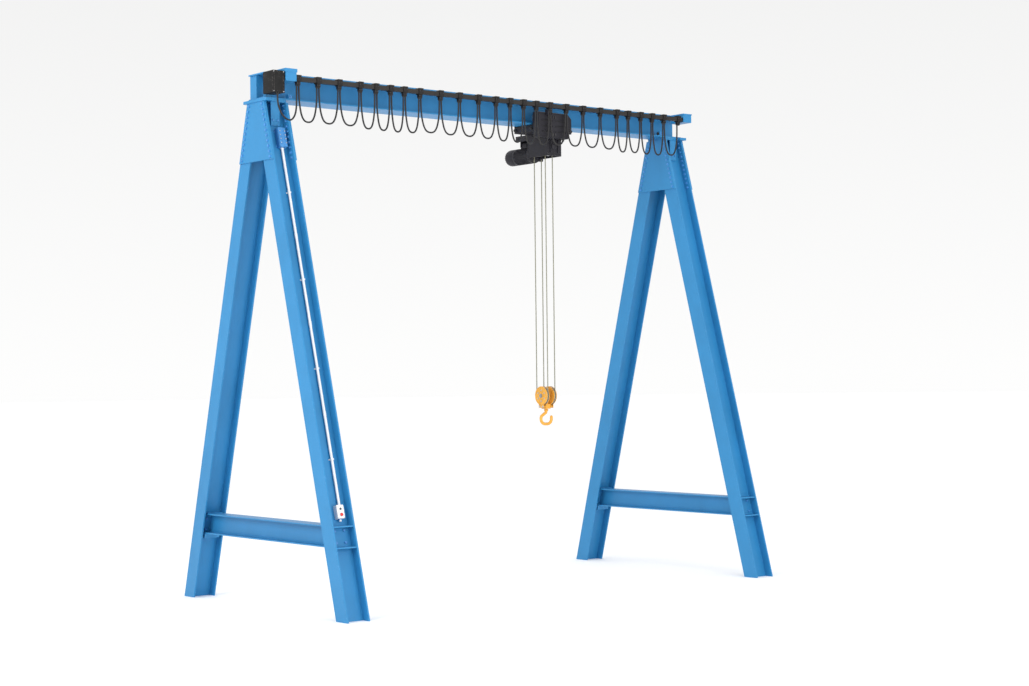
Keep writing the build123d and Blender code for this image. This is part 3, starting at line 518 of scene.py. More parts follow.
def make_cable_jacket():
    """Black rubber cable jacket with fine ribs of wear and a dull bloom."""
    material, graph, shader = new_material("cable_jacket", 0.55, 0.0, 0.0, 0.4)
    place = graph.add("ShaderNodeTexCoord").outputs["Object"]
    bloom = graph.stretch(graph.noise(place, 16.0, 4.0, 0.6), 0.42, 0.75)
    colour = graph.mix(bloom, (0.008, 0.007, 0.008, 1), (0.018, 0.017, 0.016, 1))
    mask = graph.group(SETTLED_DUST, {"Amount": 0.18, "Scale": 20.0}).outputs["Mask"]
    colour = graph.mix(mask, colour, (0.08, 0.074, 0.07, 1))
    join(graph, colour, shader["Base Color"])
    join(graph, graph.stretch(bloom, 0.0, 1.0, 0.42, 0.68), shader["Roughness"])
    fine = graph.noise(place, 900.0, 2.0, 0.5)
    inputs = {"Height": fine, "Strength": 0.3, "Distance": 0.0004}
    join(graph, graph.add("ShaderNodeBump", inputs).outputs["Normal"], shader["Normal"])
    return material


def make_wire_rope():
    """Greased steel wire rope, with painted shade between its strands."""
    material, graph, shader = new_material("wire_rope", 0.45, 0.55, 0.0, 0.5)
    place = graph.add("ShaderNodeTexCoord").outputs["Object"]
    grease = graph.stretch(graph.noise(place, 5.0, 4.0, 0.6), 0.35, 0.7)
    colour = graph.mix(grease, (0.33, 0.33, 0.24, 1), (0.42, 0.43, 0.34, 1))
    wires = graph.noise(place, 700.0, 1.0, 0.4)
    # Darker colour where the fine noise is low: painted shade between the strands.
    colour = graph.mix(graph.stretch(wires, 0.4, 0.65), (0.2, 0.19, 0.14, 1), colour)
    join(graph, colour, shader["Base Color"])
    join(graph, graph.stretch(grease, 0.0, 1.0, 0.36, 0.58), shader["Roughness"])
    inputs = {"Height": wires, "Strength": 0.5, "Distance": 0.0005}
    join(graph, graph.add("ShaderNodeBump", inputs).outputs["Normal"], shader["Normal"])
    return material


cable_jacket = make_cable_jacket()
wire_rope = make_wire_rope()

CARRIER_BODIES = [f"carrier_{i:02d}" for i in range(2, 25)]
finish_of = {
    "frame_bolts": blue_bolts,
    "festoon_rail": rail_finish,
    "festoon_end_clamps": carrier_plastic,
    "conduit": white_plastic,
    "control_box": white_plastic,
    "electrics_box": hoist_paint,
    "dark_button": button_black,
    "stop_button": red_plastic,
    "trolley_frame": hoist_paint,
    "hoist_frame": hoist_paint,
    "drum": machined_steel,
    "return_sheave": machined_steel,
    "left_block_sheave": machined_steel,
    "right_block_sheave": machined_steel,
    "block_frame": hook_yellow,
    "block_axle": machined_steel,
    "hook": hook_yellow,
}
finish_of.update({name: carrier_plastic for name in CARRIER_BODIES})
for name, node in nodes.items():
    finish = finish_of.get(name, blue_paint)
    if name.endswith("_wheel"):
        finish = machined_steel
    if not node.material_slots:
        node.data.materials.append(finish)
    for holder in node.material_slots:
        holder.link = "OBJECT"
        holder.material = finish

# ------------------------------------------------- camera, floor and light

YAW = math.radians(50.84)
PITCH = math.radians(0.94)
ROLL = math.radians(-0.64)
ahead = Vector(
    (math.cos(PITCH) * math.cos(YAW), math.cos(PITCH) * math.sin(YAW), math.sin(PITCH))
)
right = Vector((math.sin(YAW), -math.cos(YAW), 0))
above = right.cross(ahead)
leaned_right = right * math.cos(ROLL) + above * math.sin(ROLL)
leaned_up = above * math.cos(ROLL) - right * math.sin(ROLL)
camera_data = bpy.data.cameras.new("camera")
camera_data.sensor_width = 36
camera_data.lens = 1880 / 1029 * 36
camera_data.clip_end = 400
camera = bpy.data.objects.new("camera", camera_data)
bpy.context.scene.collection.objects.link(camera)
turn = Matrix((leaned_right, leaned_up, -ahead)).transposed().to_4x4()
turn.translation = Vector((-13.06, -16.56, 2.37))
camera.matrix_world = turn
bpy.context.scene.camera = camera
bpy.context.scene.view_settings.view_transform = "Standard"


def make_floor():
    """Very large pale floor that fades into the backdrop's tone far away."""
    shape = bmesh.new()
    bmesh.ops.create_circle(shape, cap_ends=True, segments=96, radius=180)
    material, graph, shader = new_material("studio_floor", 0.85, 0.0, 0.0, 0.15)
    place = graph.add("ShaderNodeTexCoord").outputs["Object"]
    clouds = graph.noise(place, 0.35, 3.0, 0.5)
    colour = graph.mix(clouds, (0.92, 0.922, 0.93, 1), (0.95, 0.95, 0.952, 1))
    join(graph, colour, shader["Base Color"])
    distance = graph.add("ShaderNodeVectorMath", {0: place}, operation="LENGTH").outputs["Value"]
    far = graph.stretch(distance, 8.0, 34.0)
    glow = graph.math("MULTIPLY", far, 0.08)
    join(graph, graph.math("ADD", glow, 0.1), shader["Emission Strength"])
    floor = make_piece("studio_floor", shape, [material])
    return floor


def add_light(name, spot, target, size, power):
    """Square soft box that points at a target."""
    data = bpy.data.lights.new(name, "AREA")
    data.shape = "SQUARE"
    data.size = size
    data.energy = power
    light = bpy.data.objects.new(name, data)
    bpy.context.scene.collection.objects.link(light)
    light.matrix_world = facing(spot, Vector(spot) - Vector(target))
    return light


make_floor()
world = bpy.data.worlds.new("studio")
bpy.context.scene.world = world
world.use_nodes = True
sky = world.node_tree
backdrop = sky.nodes["Background"]
backdrop.inputs["Color"].default_value = (1, 1, 0.997, 1)
heading = sky.nodes.new("ShaderNodeTexCoord")
parts = sky.nodes.new("ShaderNodeSeparateXYZ")
fade = sky.nodes.new("ShaderNodeMapRange")
fade.inputs["From Min"].default_value = 0.0
fade.inputs["From Max"].default_value = 0.19
fade.inputs["To Min"].default_value = 0.99
fade.inputs["To Max"].default_value = 0.9
sky.links.new(heading.outputs["Generated"], parts.inputs[0])
sky.links.new(parts.outputs["Z"], fade.inputs["Value"])
sky.links.new(fade.outputs["Result"], backdrop.inputs["Strength"])
add_light("key_softbox", (-14, -3, 8), (0, 0, 3), 7, 850)
add_light("front_softbox", (0, -15, 4), (0, 0, 3), 8, 720)
add_light("top_softbox", (0, 0, 13), (0, 0, 0), 10, 250)

# ------------------------------------------------------------ festoon cable

CABLE = 0.018
TOWED_CARRIER = 16
STRAND_OFFSET = 0.013
CLAMP_Z = 5.344
LOOP_LENGTH = 0.854
LOOP_WIDTHS = [245, 260, 265, 200, 190, 180, 205, 275, 260, 265, 245, 200]
LOOP_WIDTHS += [195, 185, 200, 245, 255, 265, 260, 180, 200, 185, 190, 235]
HALF_LOOP = [(0, 0), (0, 0.3), (0.1, 0.6), (0.32, 0.87), (0.68, 1)]
CARRIERS = [-2.66 + MM * sum(LOOP_WIDTHS[:i]) for i in range(len(LOOP_WIDTHS) + 1)]


def loop_points(left, right):
    """Route of the cable between two clamps, as in the part."""
    start = left + STRAND_OFFSET
    half = (right - left) / 2 - STRAND_OFFSET
    drop = (LOOP_LENGTH - half) / 2
    points = [(start + half * u, RAIL_Y, CLAMP_Z - drop * v) for u, v in HALF_LOOP]
    middle = start + half
    return points + [(2 * middle - x, y, z) for x, y, z in reversed(points)]


FIRST_ROUTE = [
    (-2.902, RAIL_Y, 5.227),
    (-2.902, RAIL_Y, 5.165),
    (-2.884, RAIL_Y, 5.087),
    (-2.846, RAIL_Y, 5.022),
    (-2.79, RAIL_Y, 4.98),
    (-2.737, RAIL_Y, 4.977),
    (-2.695, RAIL_Y, 5.028),
    (-2.677, RAIL_Y, 5.105),
    (-2.673, RAIL_Y, 5.202),
    (-2.673, RAIL_Y, CLAMP_Z),
]


def route_curve(name, points, resolution=10):
    """Smooth NURBS line whose control points are a route's points."""
    data = bpy.data.curves.new(name, "CURVE")
    data.dimensions = "3D"
    spline = data.splines.new("NURBS")
    spline.points.add(len(points) - 1)
    for held, point in zip(spline.points, points):
        held.co = (*point, 1)
    spline.order_u = 3
    spline.use_endpoint_u = True
    data.resolution_u = resolution
    curve = bpy.data.objects.new(name, data)
    bpy.context.scene.collection.objects.link(curve)
    return curve


def read_line(curve):
    """Points along a curve that has no thickness yet."""
    bpy.context.view_layer.update()
    held = curve.evaluated_get(bpy.context.evaluated_depsgraph_get())
    mesh = bpy.data.meshes.new_from_object(held)
    line = [v.co.copy() for v in mesh.vertices]
    bpy.data.meshes.remove(mesh)
    return line


def cable_piece(name, points, bodies):
    """Cable along a route, attached to one body, or fixed in world space when it runs between two."""
    curve = route_curve(name + "_route", points)
    line = read_line(curve)
    curve.data.bevel_depth = CABLE / 2
    curve.data.bevel_resolution = 4
    curve.data.use_fill_caps = True
    bpy.context.view_layer.update()
    held = curve.evaluated_get(bpy.context.evaluated_depsgraph_get())
    mesh = bpy.data.meshes.new_from_object(held)
    bpy.data.objects.remove(curve)
    mesh.name = name
    mesh.materials.clear()
    mesh.materials.append(cable_jacket)
    shape = bmesh.new()
    shape.from_mesh(mesh)
    bmesh.ops.remove_doubles(shape, verts=shape.verts, dist=1e-6)
    bmesh.ops.recalc_face_normals(shape, faces=shape.faces)
    shape.to_mesh(mesh)
    shape.free()
    smooth_mesh(mesh, 50)
    piece = bpy.data.objects.new(name, mesh)
    bpy.context.scene.collection.objects.link(piece)
    if len(bodies) == 2:
        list(bodies)
        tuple(points[0])
        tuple(points[-1])
        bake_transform(piece)
    else:
        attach(piece, bodies[0])
    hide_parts("festoon_cable")
    length = sum((b - a).length for a, b in zip(line, line[1:]))
    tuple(points[0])
    [tuple(p) for p in line]
    return length


def holder(number):
    """Body that holds the clamp with a number, counted from the left."""
    return "frame" if number in (1, len(CARRIERS)) else f"carrier_{number:02d}"


cable_lengths = [cable_piece("cable_from_junction_box", FIRST_ROUTE, ["frame"])]
for number, (left, right_) in enumerate(zip(CARRIERS, CARRIERS[1:]), start=1):
    ends = [holder(number), holder(number + 1)]
    ends = ends[:1] if number == TOWED_CARRIER else ends
    name = f"cable_loop_{number:02d}"
    cable_lengths.append(cable_piece(name, loop_points(left, right_), ends))
print("cable lengths", [round(1000 * x) for x in cable_lengths])

# ---------------------------------------------------------------- hoist rope

ROPE = 0.012
STRANDS = 6
LAY = 0.075  # rope in one turn of its strands
LEFT_X = TROLLEY_X - FALL_X
RIGHT_X = TROLLEY_X + FALL_X
DRUM_Z = 4.965
RETURN_Z = 4.93
ANCHOR_Z = 4.848


def round_sheave(radius, up):
    """Offsets across and along of the route's corners round half a sheave."""
    near = radius * math.tan(math.pi / 8)
    sign = 1 if up else -1
    return [(radius, sign * near), (near, sign * radius), (-near, sign * radius), (-radius, sign * near)]


def rope_points():
    """Route from the drum under the left sheave, over the return sheave and back to the anchor."""
    points = [(LEFT_X, FALL_Y, DRUM_Z), (LEFT_X, FALL_Y, DRUM_Z - 0.1)]
    points += [(LEFT_X, FALL_Y, BLOCK_Z + 0.12), (LEFT_X, FALL_Y, BLOCK_Z + 0.03)]
    points += [(LEFT_X, y, BLOCK_Z + z) for y, z in round_sheave(FALL_Y, False)]
    points += [(LEFT_X, -FALL_Y, BLOCK_Z + 0.03), (LEFT_X, -FALL_Y, BLOCK_Z + 0.12)]
    points += [(LEFT_X, -FALL_Y, RETURN_Z - 0.1), (LEFT_X, -FALL_Y, RETURN_Z - 0.02)]
    points += [(TROLLEY_X - x, -FALL_Y, RETURN_Z + z) for x, z in round_sheave(FALL_X, True)]
    points += [(RIGHT_X, -FALL_Y, RETURN_Z - 0.02), (RIGHT_X, -FALL_Y, RETURN_Z - 0.1)]
    points += [(RIGHT_X, -FALL_Y, BLOCK_Z + 0.12), (RIGHT_X, -FALL_Y, BLOCK_Z + 0.03)]
    points += [(RIGHT_X, -y, BLOCK_Z + z) for y, z in round_sheave(FALL_Y, False)]
    points += [(RIGHT_X, FALL_Y, BLOCK_Z + 0.03), (RIGHT_X, FALL_Y, BLOCK_Z + 0.12)]
    return points + [(RIGHT_X, FALL_Y, ANCHOR_Z - 0.1), (RIGHT_X, FALL_Y, ANCHOR_Z)]


def even_line(line, step):
    """Points at equal distances along a line that was read from a curve."""
    even = [line[0]]
    carried = 0.0
    for a, b in zip(line, line[1:]):
        run = (b - a).length
        while carried + run >= step:
            a = a.lerp(b, (step - carried) / run)
            even.append(a)
            run = (b - a).length
            carried = 0.0
        carried += run
    return even + [line[-1]]


def stranded_rope(line, radius, step):
    """Closed rope with twisted strands along a line."""
    shape = bmesh.new()
    line = even_line(line, step)
    section = bmesh.ops.create_circle(shape, cap_ends=True, segments=3 * STRANDS, radius=radius)
    for vert in section["verts"][::3]:
        vert.co *= 0.8
    face = shape.faces[:]
    ahead = (line[1] - line[0]).normalized()
    across = Vector((1, 0, 0)) if abs(ahead.x) < 0.9 else Vector((0, 1, 0))
    across = (across - ahead * across.dot(ahead)).normalized()

    def place(spot, ahead, across, twist):
        side = ahead.cross(across)
        x = across * math.cos(twist) + side * math.sin(twist)
        held = Matrix((x, ahead.cross(x), ahead)).transposed().to_4x4()
        held.translation = spot
        return held

    before = place(line[0], ahead, across, 0.0)
    bmesh.ops.transform(shape, matrix=before, verts=shape.verts)
    for number in range(1, len(line)):
        after_spot = line[min(number + 1, len(line) - 1)]
        ahead = (after_spot - line[number - 1]).normalized()
        across = (across - ahead * across.dot(ahead)).normalized()
        now = place(line[number], ahead, across, math.tau * number * step / LAY)
        made = bmesh.ops.extrude_face_region(shape, geom=face)["geom"]
        moved = [v for v in made if isinstance(v, bmesh.types.BMVert)]
        bmesh.ops.transform(shape, matrix=now @ before.inverted(), verts=moved)
        face = [f for f in made if isinstance(f, bmesh.types.BMFace)]
        before = now
    bmesh.ops.recalc_face_normals(shape, faces=shape.faces)
    return shape


def make_rope():
    """Hoist rope in one piece between the trolley and the hook block, fixed in world space."""
    curve = route_curve("rope_route", rope_points(), 16)
    line = read_line(curve)
    bpy.data.objects.remove(curve)
    shape = stranded_rope(line, ROPE / 2, 0.00625)
    piece = make_piece("hoist_rope", shape, [wire_rope], sharp=70)
    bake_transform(piece)
    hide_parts("rope_falls")


def make_drum_turns():
    """Rope wound on the drum, from its middle to where the rope leaves."""
    shape = bmesh.new()
    made = bmesh.ops.create_circle(shape, segments=10, radius=ROPE / 2)
    bmesh.ops.translate(shape, vec=(LEFT_X, FALL_Y, DRUM_Z), verts=made["verts"])
    turns = 11
    steps = turns * 40
    bmesh.ops.spin(
        shape,
        geom=shape.verts[:] + shape.edges[:],
        cent=(TROLLEY_X + 0.022, 0, DRUM_Z),
        axis=(0, 1, 0),
        dvec=(0, -0.0128 / 40, 0),
        angle=turns * math.tau,
        steps=steps,
        use_merge=False,
    )
    bmesh.ops.holes_fill(shape, edges=[e for e in shape.edges if e.is_boundary])
    bmesh.ops.recalc_face_normals(shape, faces=shape.faces)
    make_piece("rope_on_drum", shape, [wire_rope], "drum")


make_rope()
make_drum_turns()

# --------------------------------------------------------- festoon carriers


def make_carrier_fittings(number, x):
    """Roller pins, buffers, clamp screws and cable collars of one carrier."""
    piece = bmesh.new()
    for side in (-1, 1):
        y = RAIL_Y + side * 0.031
        for dx in (-0.016, 0.016):
            spot = (x + dx, y, RAIL_Z + 0.008)
            add_shape(piece, rod(0.0055, 0.003, 0.0008, 12), facing(spot, (0, side, 0)), 2)
        low = (x - 0.021, y - 0.001, RAIL_Z - 0.024)
        high = (x + 0.021, y + 0.001, RAIL_Z - 0.012)
        add_shape(piece, block(low, high, 0.0006, 1))
        spot = (x + side * 0.028, RAIL_Y, RAIL_Z + 0.031)
        add_shape(piece, rod(0.008, 0.002, 0.0006, 16), facing(spot, (side, 0, 0)), 1)
        for dx in (-0.012, 0.012):
            spot = (x + dx, RAIL_Y + side * 0.017, CLAMP_Z + 0.02)
            add_bolt(piece, spot, (0, side, 0), 0.009, finish=2)
        low = (x - 0.0225, RAIL_Y + side * 0.0175 - 0.0015, CLAMP_Z + 0.001)
        high = (x + 0.0225, RAIL_Y + side * 0.0175 + 0.0015, CLAMP_Z + 0.012)
        add_shape(piece, block(low, high, 0.001, 1))
    low = (x - 0.0228, RAIL_Y - 0.0125, CLAMP_Z - 0.012)
    add_shape(piece, block(low, (x + 0.0228, RAIL_Y + 0.0125, CLAMP_Z + 0.002), 0.004, 2), None, 1)
    finishes = [carrier_plastic, rubber, dark_bolts]
    name = f"carrier_fittings_{number:02d}"
    make_piece(name, piece, finishes, holder(number))


for number, x in enumerate(CARRIERS, start=1):
    make_carrier_fittings(number, x)

# ------------------------------------------------------------ junction box

JUNCTION_X = -2.902


def make_junction_box():
    """Black box with painted shade in the gap under its lid, corner screws, a gland and its mounting plate.
    """
    piece = bmesh.new()
    left, right_, back = JUNCTION_X - 0.07, JUNCTION_X + 0.07, -0.165
    low, high = 5.245, 5.47
    add_shape(piece, block((left, -0.342, low), (right_, back, high), 0.006, 3))
    # Black block in the gap under the lid: painted shade.
    gap = block((left + 0.004, -0.346, low + 0.004), (right_ - 0.004, -0.34, high - 0.004))
    add_shape(piece, gap, None, 1)
    lid = block((left, -0.357, low - 0.001), (right_ + 0.001, -0.3455, high + 0.001), 0.0045, 3)
    add_shape(piece, lid)
    panel = block((left + 0.016, -0.3585, low + 0.016), (right_ - 0.016, -0.3565, high - 0.016), 0.0012, 2)
    add_shape(piece, panel)
    for dx in (-0.058, 0.058):
        for z in (low + 0.012, high - 0.012):
            add_screw(piece, (JUNCTION_X + dx, -0.357, z), (0, -1, 0), 0.0055, 2)
    for z in (low + 0.06, high - 0.06):
        hinge = rod(0.005, 0.034, 0.001, 14)
        add_shape(piece, hinge, Matrix.Translation((right_ + 0.0035, -0.344, z - 0.017)))
        leaf = block((right_ - 0.001, -0.344, z - 0.015), (right_ + 0.003, -0.322, z + 0.015), 0.0008, 1)
        add_shape(piece, leaf)
    plate = block((left + 0.015, back, 5.212), (right_ - 0.015, -0.1503, 5.476), 0.002, 2)
    add_shape(piece, plate, None, 3)
    for dx in (-0.04, 0.04):
        add_bolt(piece, (JUNCTION_X + dx, -0.165, 5.228), (0, -1, 0), 0.013, 0.006, finish=3)
    nut = hexagon(0.0275, 0.008)
    add_shape(piece, nut, facing((JUNCTION_X, RAIL_Y, low), (0, 0, -1)))
    cone = [(0.0092, 0), (0.0138, 0), (0.0138, 0.008), (0.0112, 0.018), (0.0092, 0.018)]
    add_shape(piece, turned(cone + cone[:1], 20), facing((JUNCTION_X, RAIL_Y, low), (0, 0, -1)), 4)
    finishes = [box_black, painted_shade_black, zinc, blue_paint, rubber]
    make_piece("junction_case", piece, finishes, "frame", stands_for=["junction_box"])


make_junction_box()

# ------------------------------------- isolator, conduit and push-button box

ELECTRICS_X = -2.785
CONTROL_X = -2.804
CONTROL_Z = 1.032
ISOLATOR_Z = 4.796


def on_leg(x, z):
    """Place on the left front leg's web: Y runs up the leg and Z points outwards."""
    y = -(WEB_MIDDLE + HALF_WEB + SEAT_GAP - LEAN * z)
    return facing((x, y, z), (0, -1, LEAN))


def make_isolator():
    """Switch case with a lid on eight domed bolts and a white gland."""
    piece = bmesh.new()
    place = on_leg(ELECTRICS_X, ISOLATOR_Z)
    add_shape(piece, block((-0.046, -0.105, 0), (0.046, 0.105, 0.058), 0.006, 3), place)
    # Black band between case and lid: painted shade in the joint.
    add_shape(piece, block((-0.043, -0.102, 0.056), (0.043, 0.102, 0.0605)), place, 1)
    add_shape(piece, block((-0.045, -0.104, 0.0595), (0.045, 0.104, 0.0665), 0.003, 2), place)
    for x in (-0.029, 0.029):
        for row in range(4):
            y = -0.063 + 0.042 * row
            boss = [(0, 0.0075), (0.005, 0.0072), (0.0088, 0.0052), (0.0108, 0.002), (0.0114, 0)]
            add_shape(piece, turned(boss, 18), place @ Matrix.Translation((x, y, 0.066)))
            nut = hexagon(0.011, 0.0035)
            add_shape(piece, nut, place @ Matrix.Translation((x, y, 0.0725)), 3)
    ridge = block((-0.012, -0.088, 0.065), (0.012, 0.088, 0.0688), 0.0018, 2)
    add_shape(piece, ridge, place)
    for side in (-1, 1):
        for y in (-0.08, 0.08):
            x = side * 0.05
            ear = block((x - 0.008, y - 0.011, 0), (x + 0.008, y + 0.011, 0.005), 0.0015, 2)
            add_shape(piece, ear, place)
    gland = place @ Matrix.Translation((0, -0.105, 0.022)) @ Matrix.Rotation(math.pi / 2, 4, "X")
    add_shape(piece, hexagon(0.034, 0.008), gland, 2)
    cone = [(0.0142, 0.006), (0.0165, 0.006), (0.0165, 0.012), (0.0155, 0.016), (0.0142, 0.016)]
    add_shape(piece, turned(cone + cone[:1], 24), gland, 2)
    finishes = [blue_box_paint, painted_shade_black, white_plastic, zinc]
    make_piece("isolator_case", piece, finishes, "frame", stands_for=["isolator_box"])


def make_conduit_fittings():
    """Couplings along the conduit and the screws of its saddles."""
    piece = bmesh.new()
    foot = 0.067 + SEAT_GAP
    low = on_leg(ELECTRICS_X, CONTROL_Z)
    top = on_leg(ELECTRICS_X, ISOLATOR_Z)
    length = (top.translation - low.translation).length - foot - 0.105 - 0.016 - SEAT_GAP
    for share in (0.25, 0.5, 0.75):
        sleeve = [(0.0141, -0.024), (0.0154, -0.024), (0.0157, -0.022), (0.0157, 0.022)]
        sleeve += [(0.0154, 0.024), (0.0141, 0.024)]
        along = Matrix.Translation((0, foot + share * length, 0.022))
        spun = along @ Matrix.Rotation(math.pi / 2, 4, "X")
        add_shape(piece, turned(sleeve + sleeve[:1], 24), low @ spun)
    for i in range(4):
        y = foot + length * (i + 0.5) / 4
        for x in (-0.0198, 0.0198):
            spot = low @ Vector((x, y, 0.004))
            add_screw(piece, spot, (0, -1, LEAN), 0.0032, 1)
    make_piece("conduit_fittings", piece, [white_plastic, zinc], "frame")


def make_control_fittings():
    """Lid line in painted shade, screws, button rings and the nut of the gland on the push-button box."""
    piece = bmesh.new()
    place = on_leg(CONTROL_X, CONTROL_Z)
    face = 0.06
    # Black line round the lid: painted shade in the lid's joint.
    frame_line = block((-0.0405, -0.0675, 0.041), (0.0405, 0.0675, 0.0425), 0.0004, 1)
    add_shape(piece, frame_line, place, 1)
    for y, hole, tall in ((0.027, 0.0118, 0.0036), (-0.031, 0.0088, 0.0024)):
        outline = [(hole, 0), (0.0185, 0), (0.0192, 0.5 * tall), (0.018, tall)]
        outline += [(hole + 0.001, 0.85 * tall), (hole, 0.55 * tall)]
        ring_place = place @ Matrix.Translation((0, y, face))
        add_shape(piece, turned(outline + outline[:1], 28), ring_place, 2)
    for x in (-0.031, 0.031):
        for y in (-0.058, 0.058):
            add_screw(piece, place @ Vector((x, y, face)), (0, -1, LEAN), 0.0042, 3)
    gland = place @ Matrix.Translation((0, -0.067, 0.03)) @ Matrix.Rotation(math.pi / 2, 4, "X")
    add_shape(piece, hexagon(0.03, 0.007), gland, 4)
    finishes = [white_plastic, painted_shade_black, white_plastic, zinc, blue_box_paint]
    make_piece("control_fittings", piece, finishes, "frame")


make_isolator()
make_conduit_fittings()
make_control_fittings()

# ------------------------------------------------------ electrics and hoist


def make_electrics_fittings():
    """Louvre hoods, lid seams, latches, handles, screws and glands on the trolley's box."""
    piece = bmesh.new()
    left, right_, front = 0.576, 1.02, -0.29
    for row in range(3):
        z = 5.112 + 0.062 * row
        for x in (0.706, 0.91):
            spot = (x - 0.079, front - 0.0065, z + 0.0135)
            add_shape(piece, block(spot, (x + 0.079, front + 0.001, z + 0.0185), 0.002, 2))
            for end in (-0.0785, 0.0735):
                spot = (x + end, front - 0.0055, z - 0.001)
                far = (x + end + 0.005, front + 0.001, z + 0.016)
                add_shape(piece, block(spot, far, 0.0015, 1))
            # Black sheet behind each louvre: painted shade inside the slot.
            back = block((x - 0.074, front + 0.0035, z + 0.0005), (x + 0.074, front + 0.0045, z + 0.0135))
            add_shape(piece, back, None, 1)
    # Seam lines are drawn black: painted shade in the lid's joints.
    seams = [(left + 0.004, 0.003, 5.312), (right_ - 0.007, 0.003, 5.312), (0.807, 0.0025, 5.314)]
    for x, wide, high in seams:
        seam = block((x, front - 0.0015, 5.062), (x + wide, front + 0.001, high), 0.0005, 1)
        add_shape(piece, seam, None, 1)
    for x in (0.792, 0.824):
        for z in (5.09, 5.285):
            spot = (x - 0.008, front - 0.008, z - 0.014)
            latch = block(spot, (x + 0.008, front + 0.001, z + 0.014), 0.003, 2)
            add_shape(piece, latch, None, 2)
    for x in (left + 0.017, right_ - 0.02):
        for z in (5.075, 5.19, 5.3):
            add_screw(piece, (x, front, z), (0, -1, 0), 0.0055, 2)
    for x in (0.62, 0.665, 0.95, 0.99):
        nut_place = facing((x, -0.235, 5.05), (0, 0, -1))
        add_shape(piece, hexagon(0.024, 0.009), nut_place, 3)
        cone = [(0.006, 0.008), (0.0105, 0.008), (0.0105, 0.014), (0.0075, 0.024), (0.0, 0.024)]
        add_shape(piece, turned([(0, 0.008)] + cone[1:], 18), nut_place, 3)
    for z in (5.12, 5.24):
        handle_place = facing((right_, -0.24, z), (1, 0, 0))
        add_shape(piece, ring(0.016, 0.0035, 24, 8), handle_place @ Matrix.Rotation(math.pi / 2, 4, "X"), 0)
    finishes = [hoist_paint, painted_shade_black, dark_bolts, rubber]
    make_piece("electrics_fittings", piece, finishes, "trolley")


def make_motor():
    """Gear case, finned motor and its domed fan cover with a terminal box."""
    piece = bmesh.new()
    middle = Vector((TROLLEY_X, 0, 4.905))
    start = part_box("hoist_motor")[0].y
    case_end = start + 0.032
    case = block((TROLLEY_X - 0.105, start, 4.83), (TROLLEY_X + 0.115, case_end, 5.055), 0.012, 3)
    add_shape(piece, case)
    along = facing((TROLLEY_X, case_end, middle.z), (0, 1, 0))
    outline = [(0, -0.002), (0.094, -0.002), (0.095, 0.003), (0.095, 0.03), (0.088, 0.036)]
    outline += [(0.086, 0.04), (0.086, 0.262), (0.088, 0.266), (0.095, 0.272), (0.095, 0.29)]
    outline += [(0.0935, 0.292), (0.0935, 0.296), (0.095, 0.298), (0.095, 0.4)]
    outline += [(0.093, 0.414), (0.087, 0.43), (0.077, 0.443), (0.062, 0.453), (0.04, 0.459), (0, 0.46)]
    add_shape(piece, turned(outline, 64), along)
    fins = bmesh.new()
    made = bmesh.ops.create_cube(fins, size=1)["verts"]
    bmesh.ops.scale(fins, vec=(0.011, 0.0032, 0.238), verts=made)
    bmesh.ops.translate(fins, vec=(0.0893, 0, 0.151), verts=made)
    bmesh.ops.spin(
        fins,
        geom=fins.verts[:] + fins.edges[:] + fins.faces[:],
        cent=(0, 0, 0),
        axis=(0, 0, 1),
        angle=math.tau * 35 / 36,
        steps=35,
        use_duplicate=True,
    )
    add_shape(piece, fins, along)
    for i in range(20):
        turn = Matrix.Rotation(math.tau * i / 20, 4, "Z")
        # Black slots on the fan cover: painted shade in the openings.
        slot_ = block((0.056, -0.003, 0.4465), (0.082, 0.003, 0.4495), 0.001, 1)
        lean = Matrix.Rotation(math.radians(38), 4, "Y")
        held = Matrix.Translation((0.074, 0, 0.446)) @ lean @ Matrix.Translation((-0.069, 0, -0.448))
        add_shape(piece, slot_, along @ turn @ held, 1)
    for i in range(8):
        a = math.tau * (i + 0.5) / 8
        spot = along @ Vector((0.0935 * math.cos(a), 0.0935 * math.sin(a), 0.35))
        axis = along.to_3x3() @ Vector((math.cos(a), math.sin(a), 0))
        add_screw(piece, spot, axis, 0.005, 2)
    box_low = (TROLLEY_X - 0.05, case_end + 0.075, middle.z + 0.085)
    add_shape(piece, block(box_low, (TROLLEY_X + 0.05, case_end + 0.185, middle.z + 0.138), 0.006, 3))
    lid_low = (TROLLEY_X - 0.053, case_end + 0.072, middle.z + 0.136)
    add_shape(piece, block(lid_low, (TROLLEY_X + 0.053, case_end + 0.188, middle.z + 0.144), 0.003, 2))
    for x in (-0.043, 0.043):
        for y in (0.083, 0.177):
            add_screw(piece, (TROLLEY_X + x, case_end + y, middle.z + 0.144), (0, 0, 1), 0.0045, 2)
    for x in (TROLLEY_X - 0.09, TROLLEY_X + 0.1):
        for z in (4.845, 4.945, 5.04):
            add_bolt(piece, (x, case_end, z), (0, 1, 0), 0.014, 0.008, 2)
    finishes = [hoist_paint, painted_shade_black, dark_bolts]
    make_piece("hoist_motor_case", piece, finishes, "trolley", stands_for=["hoist_motor"])


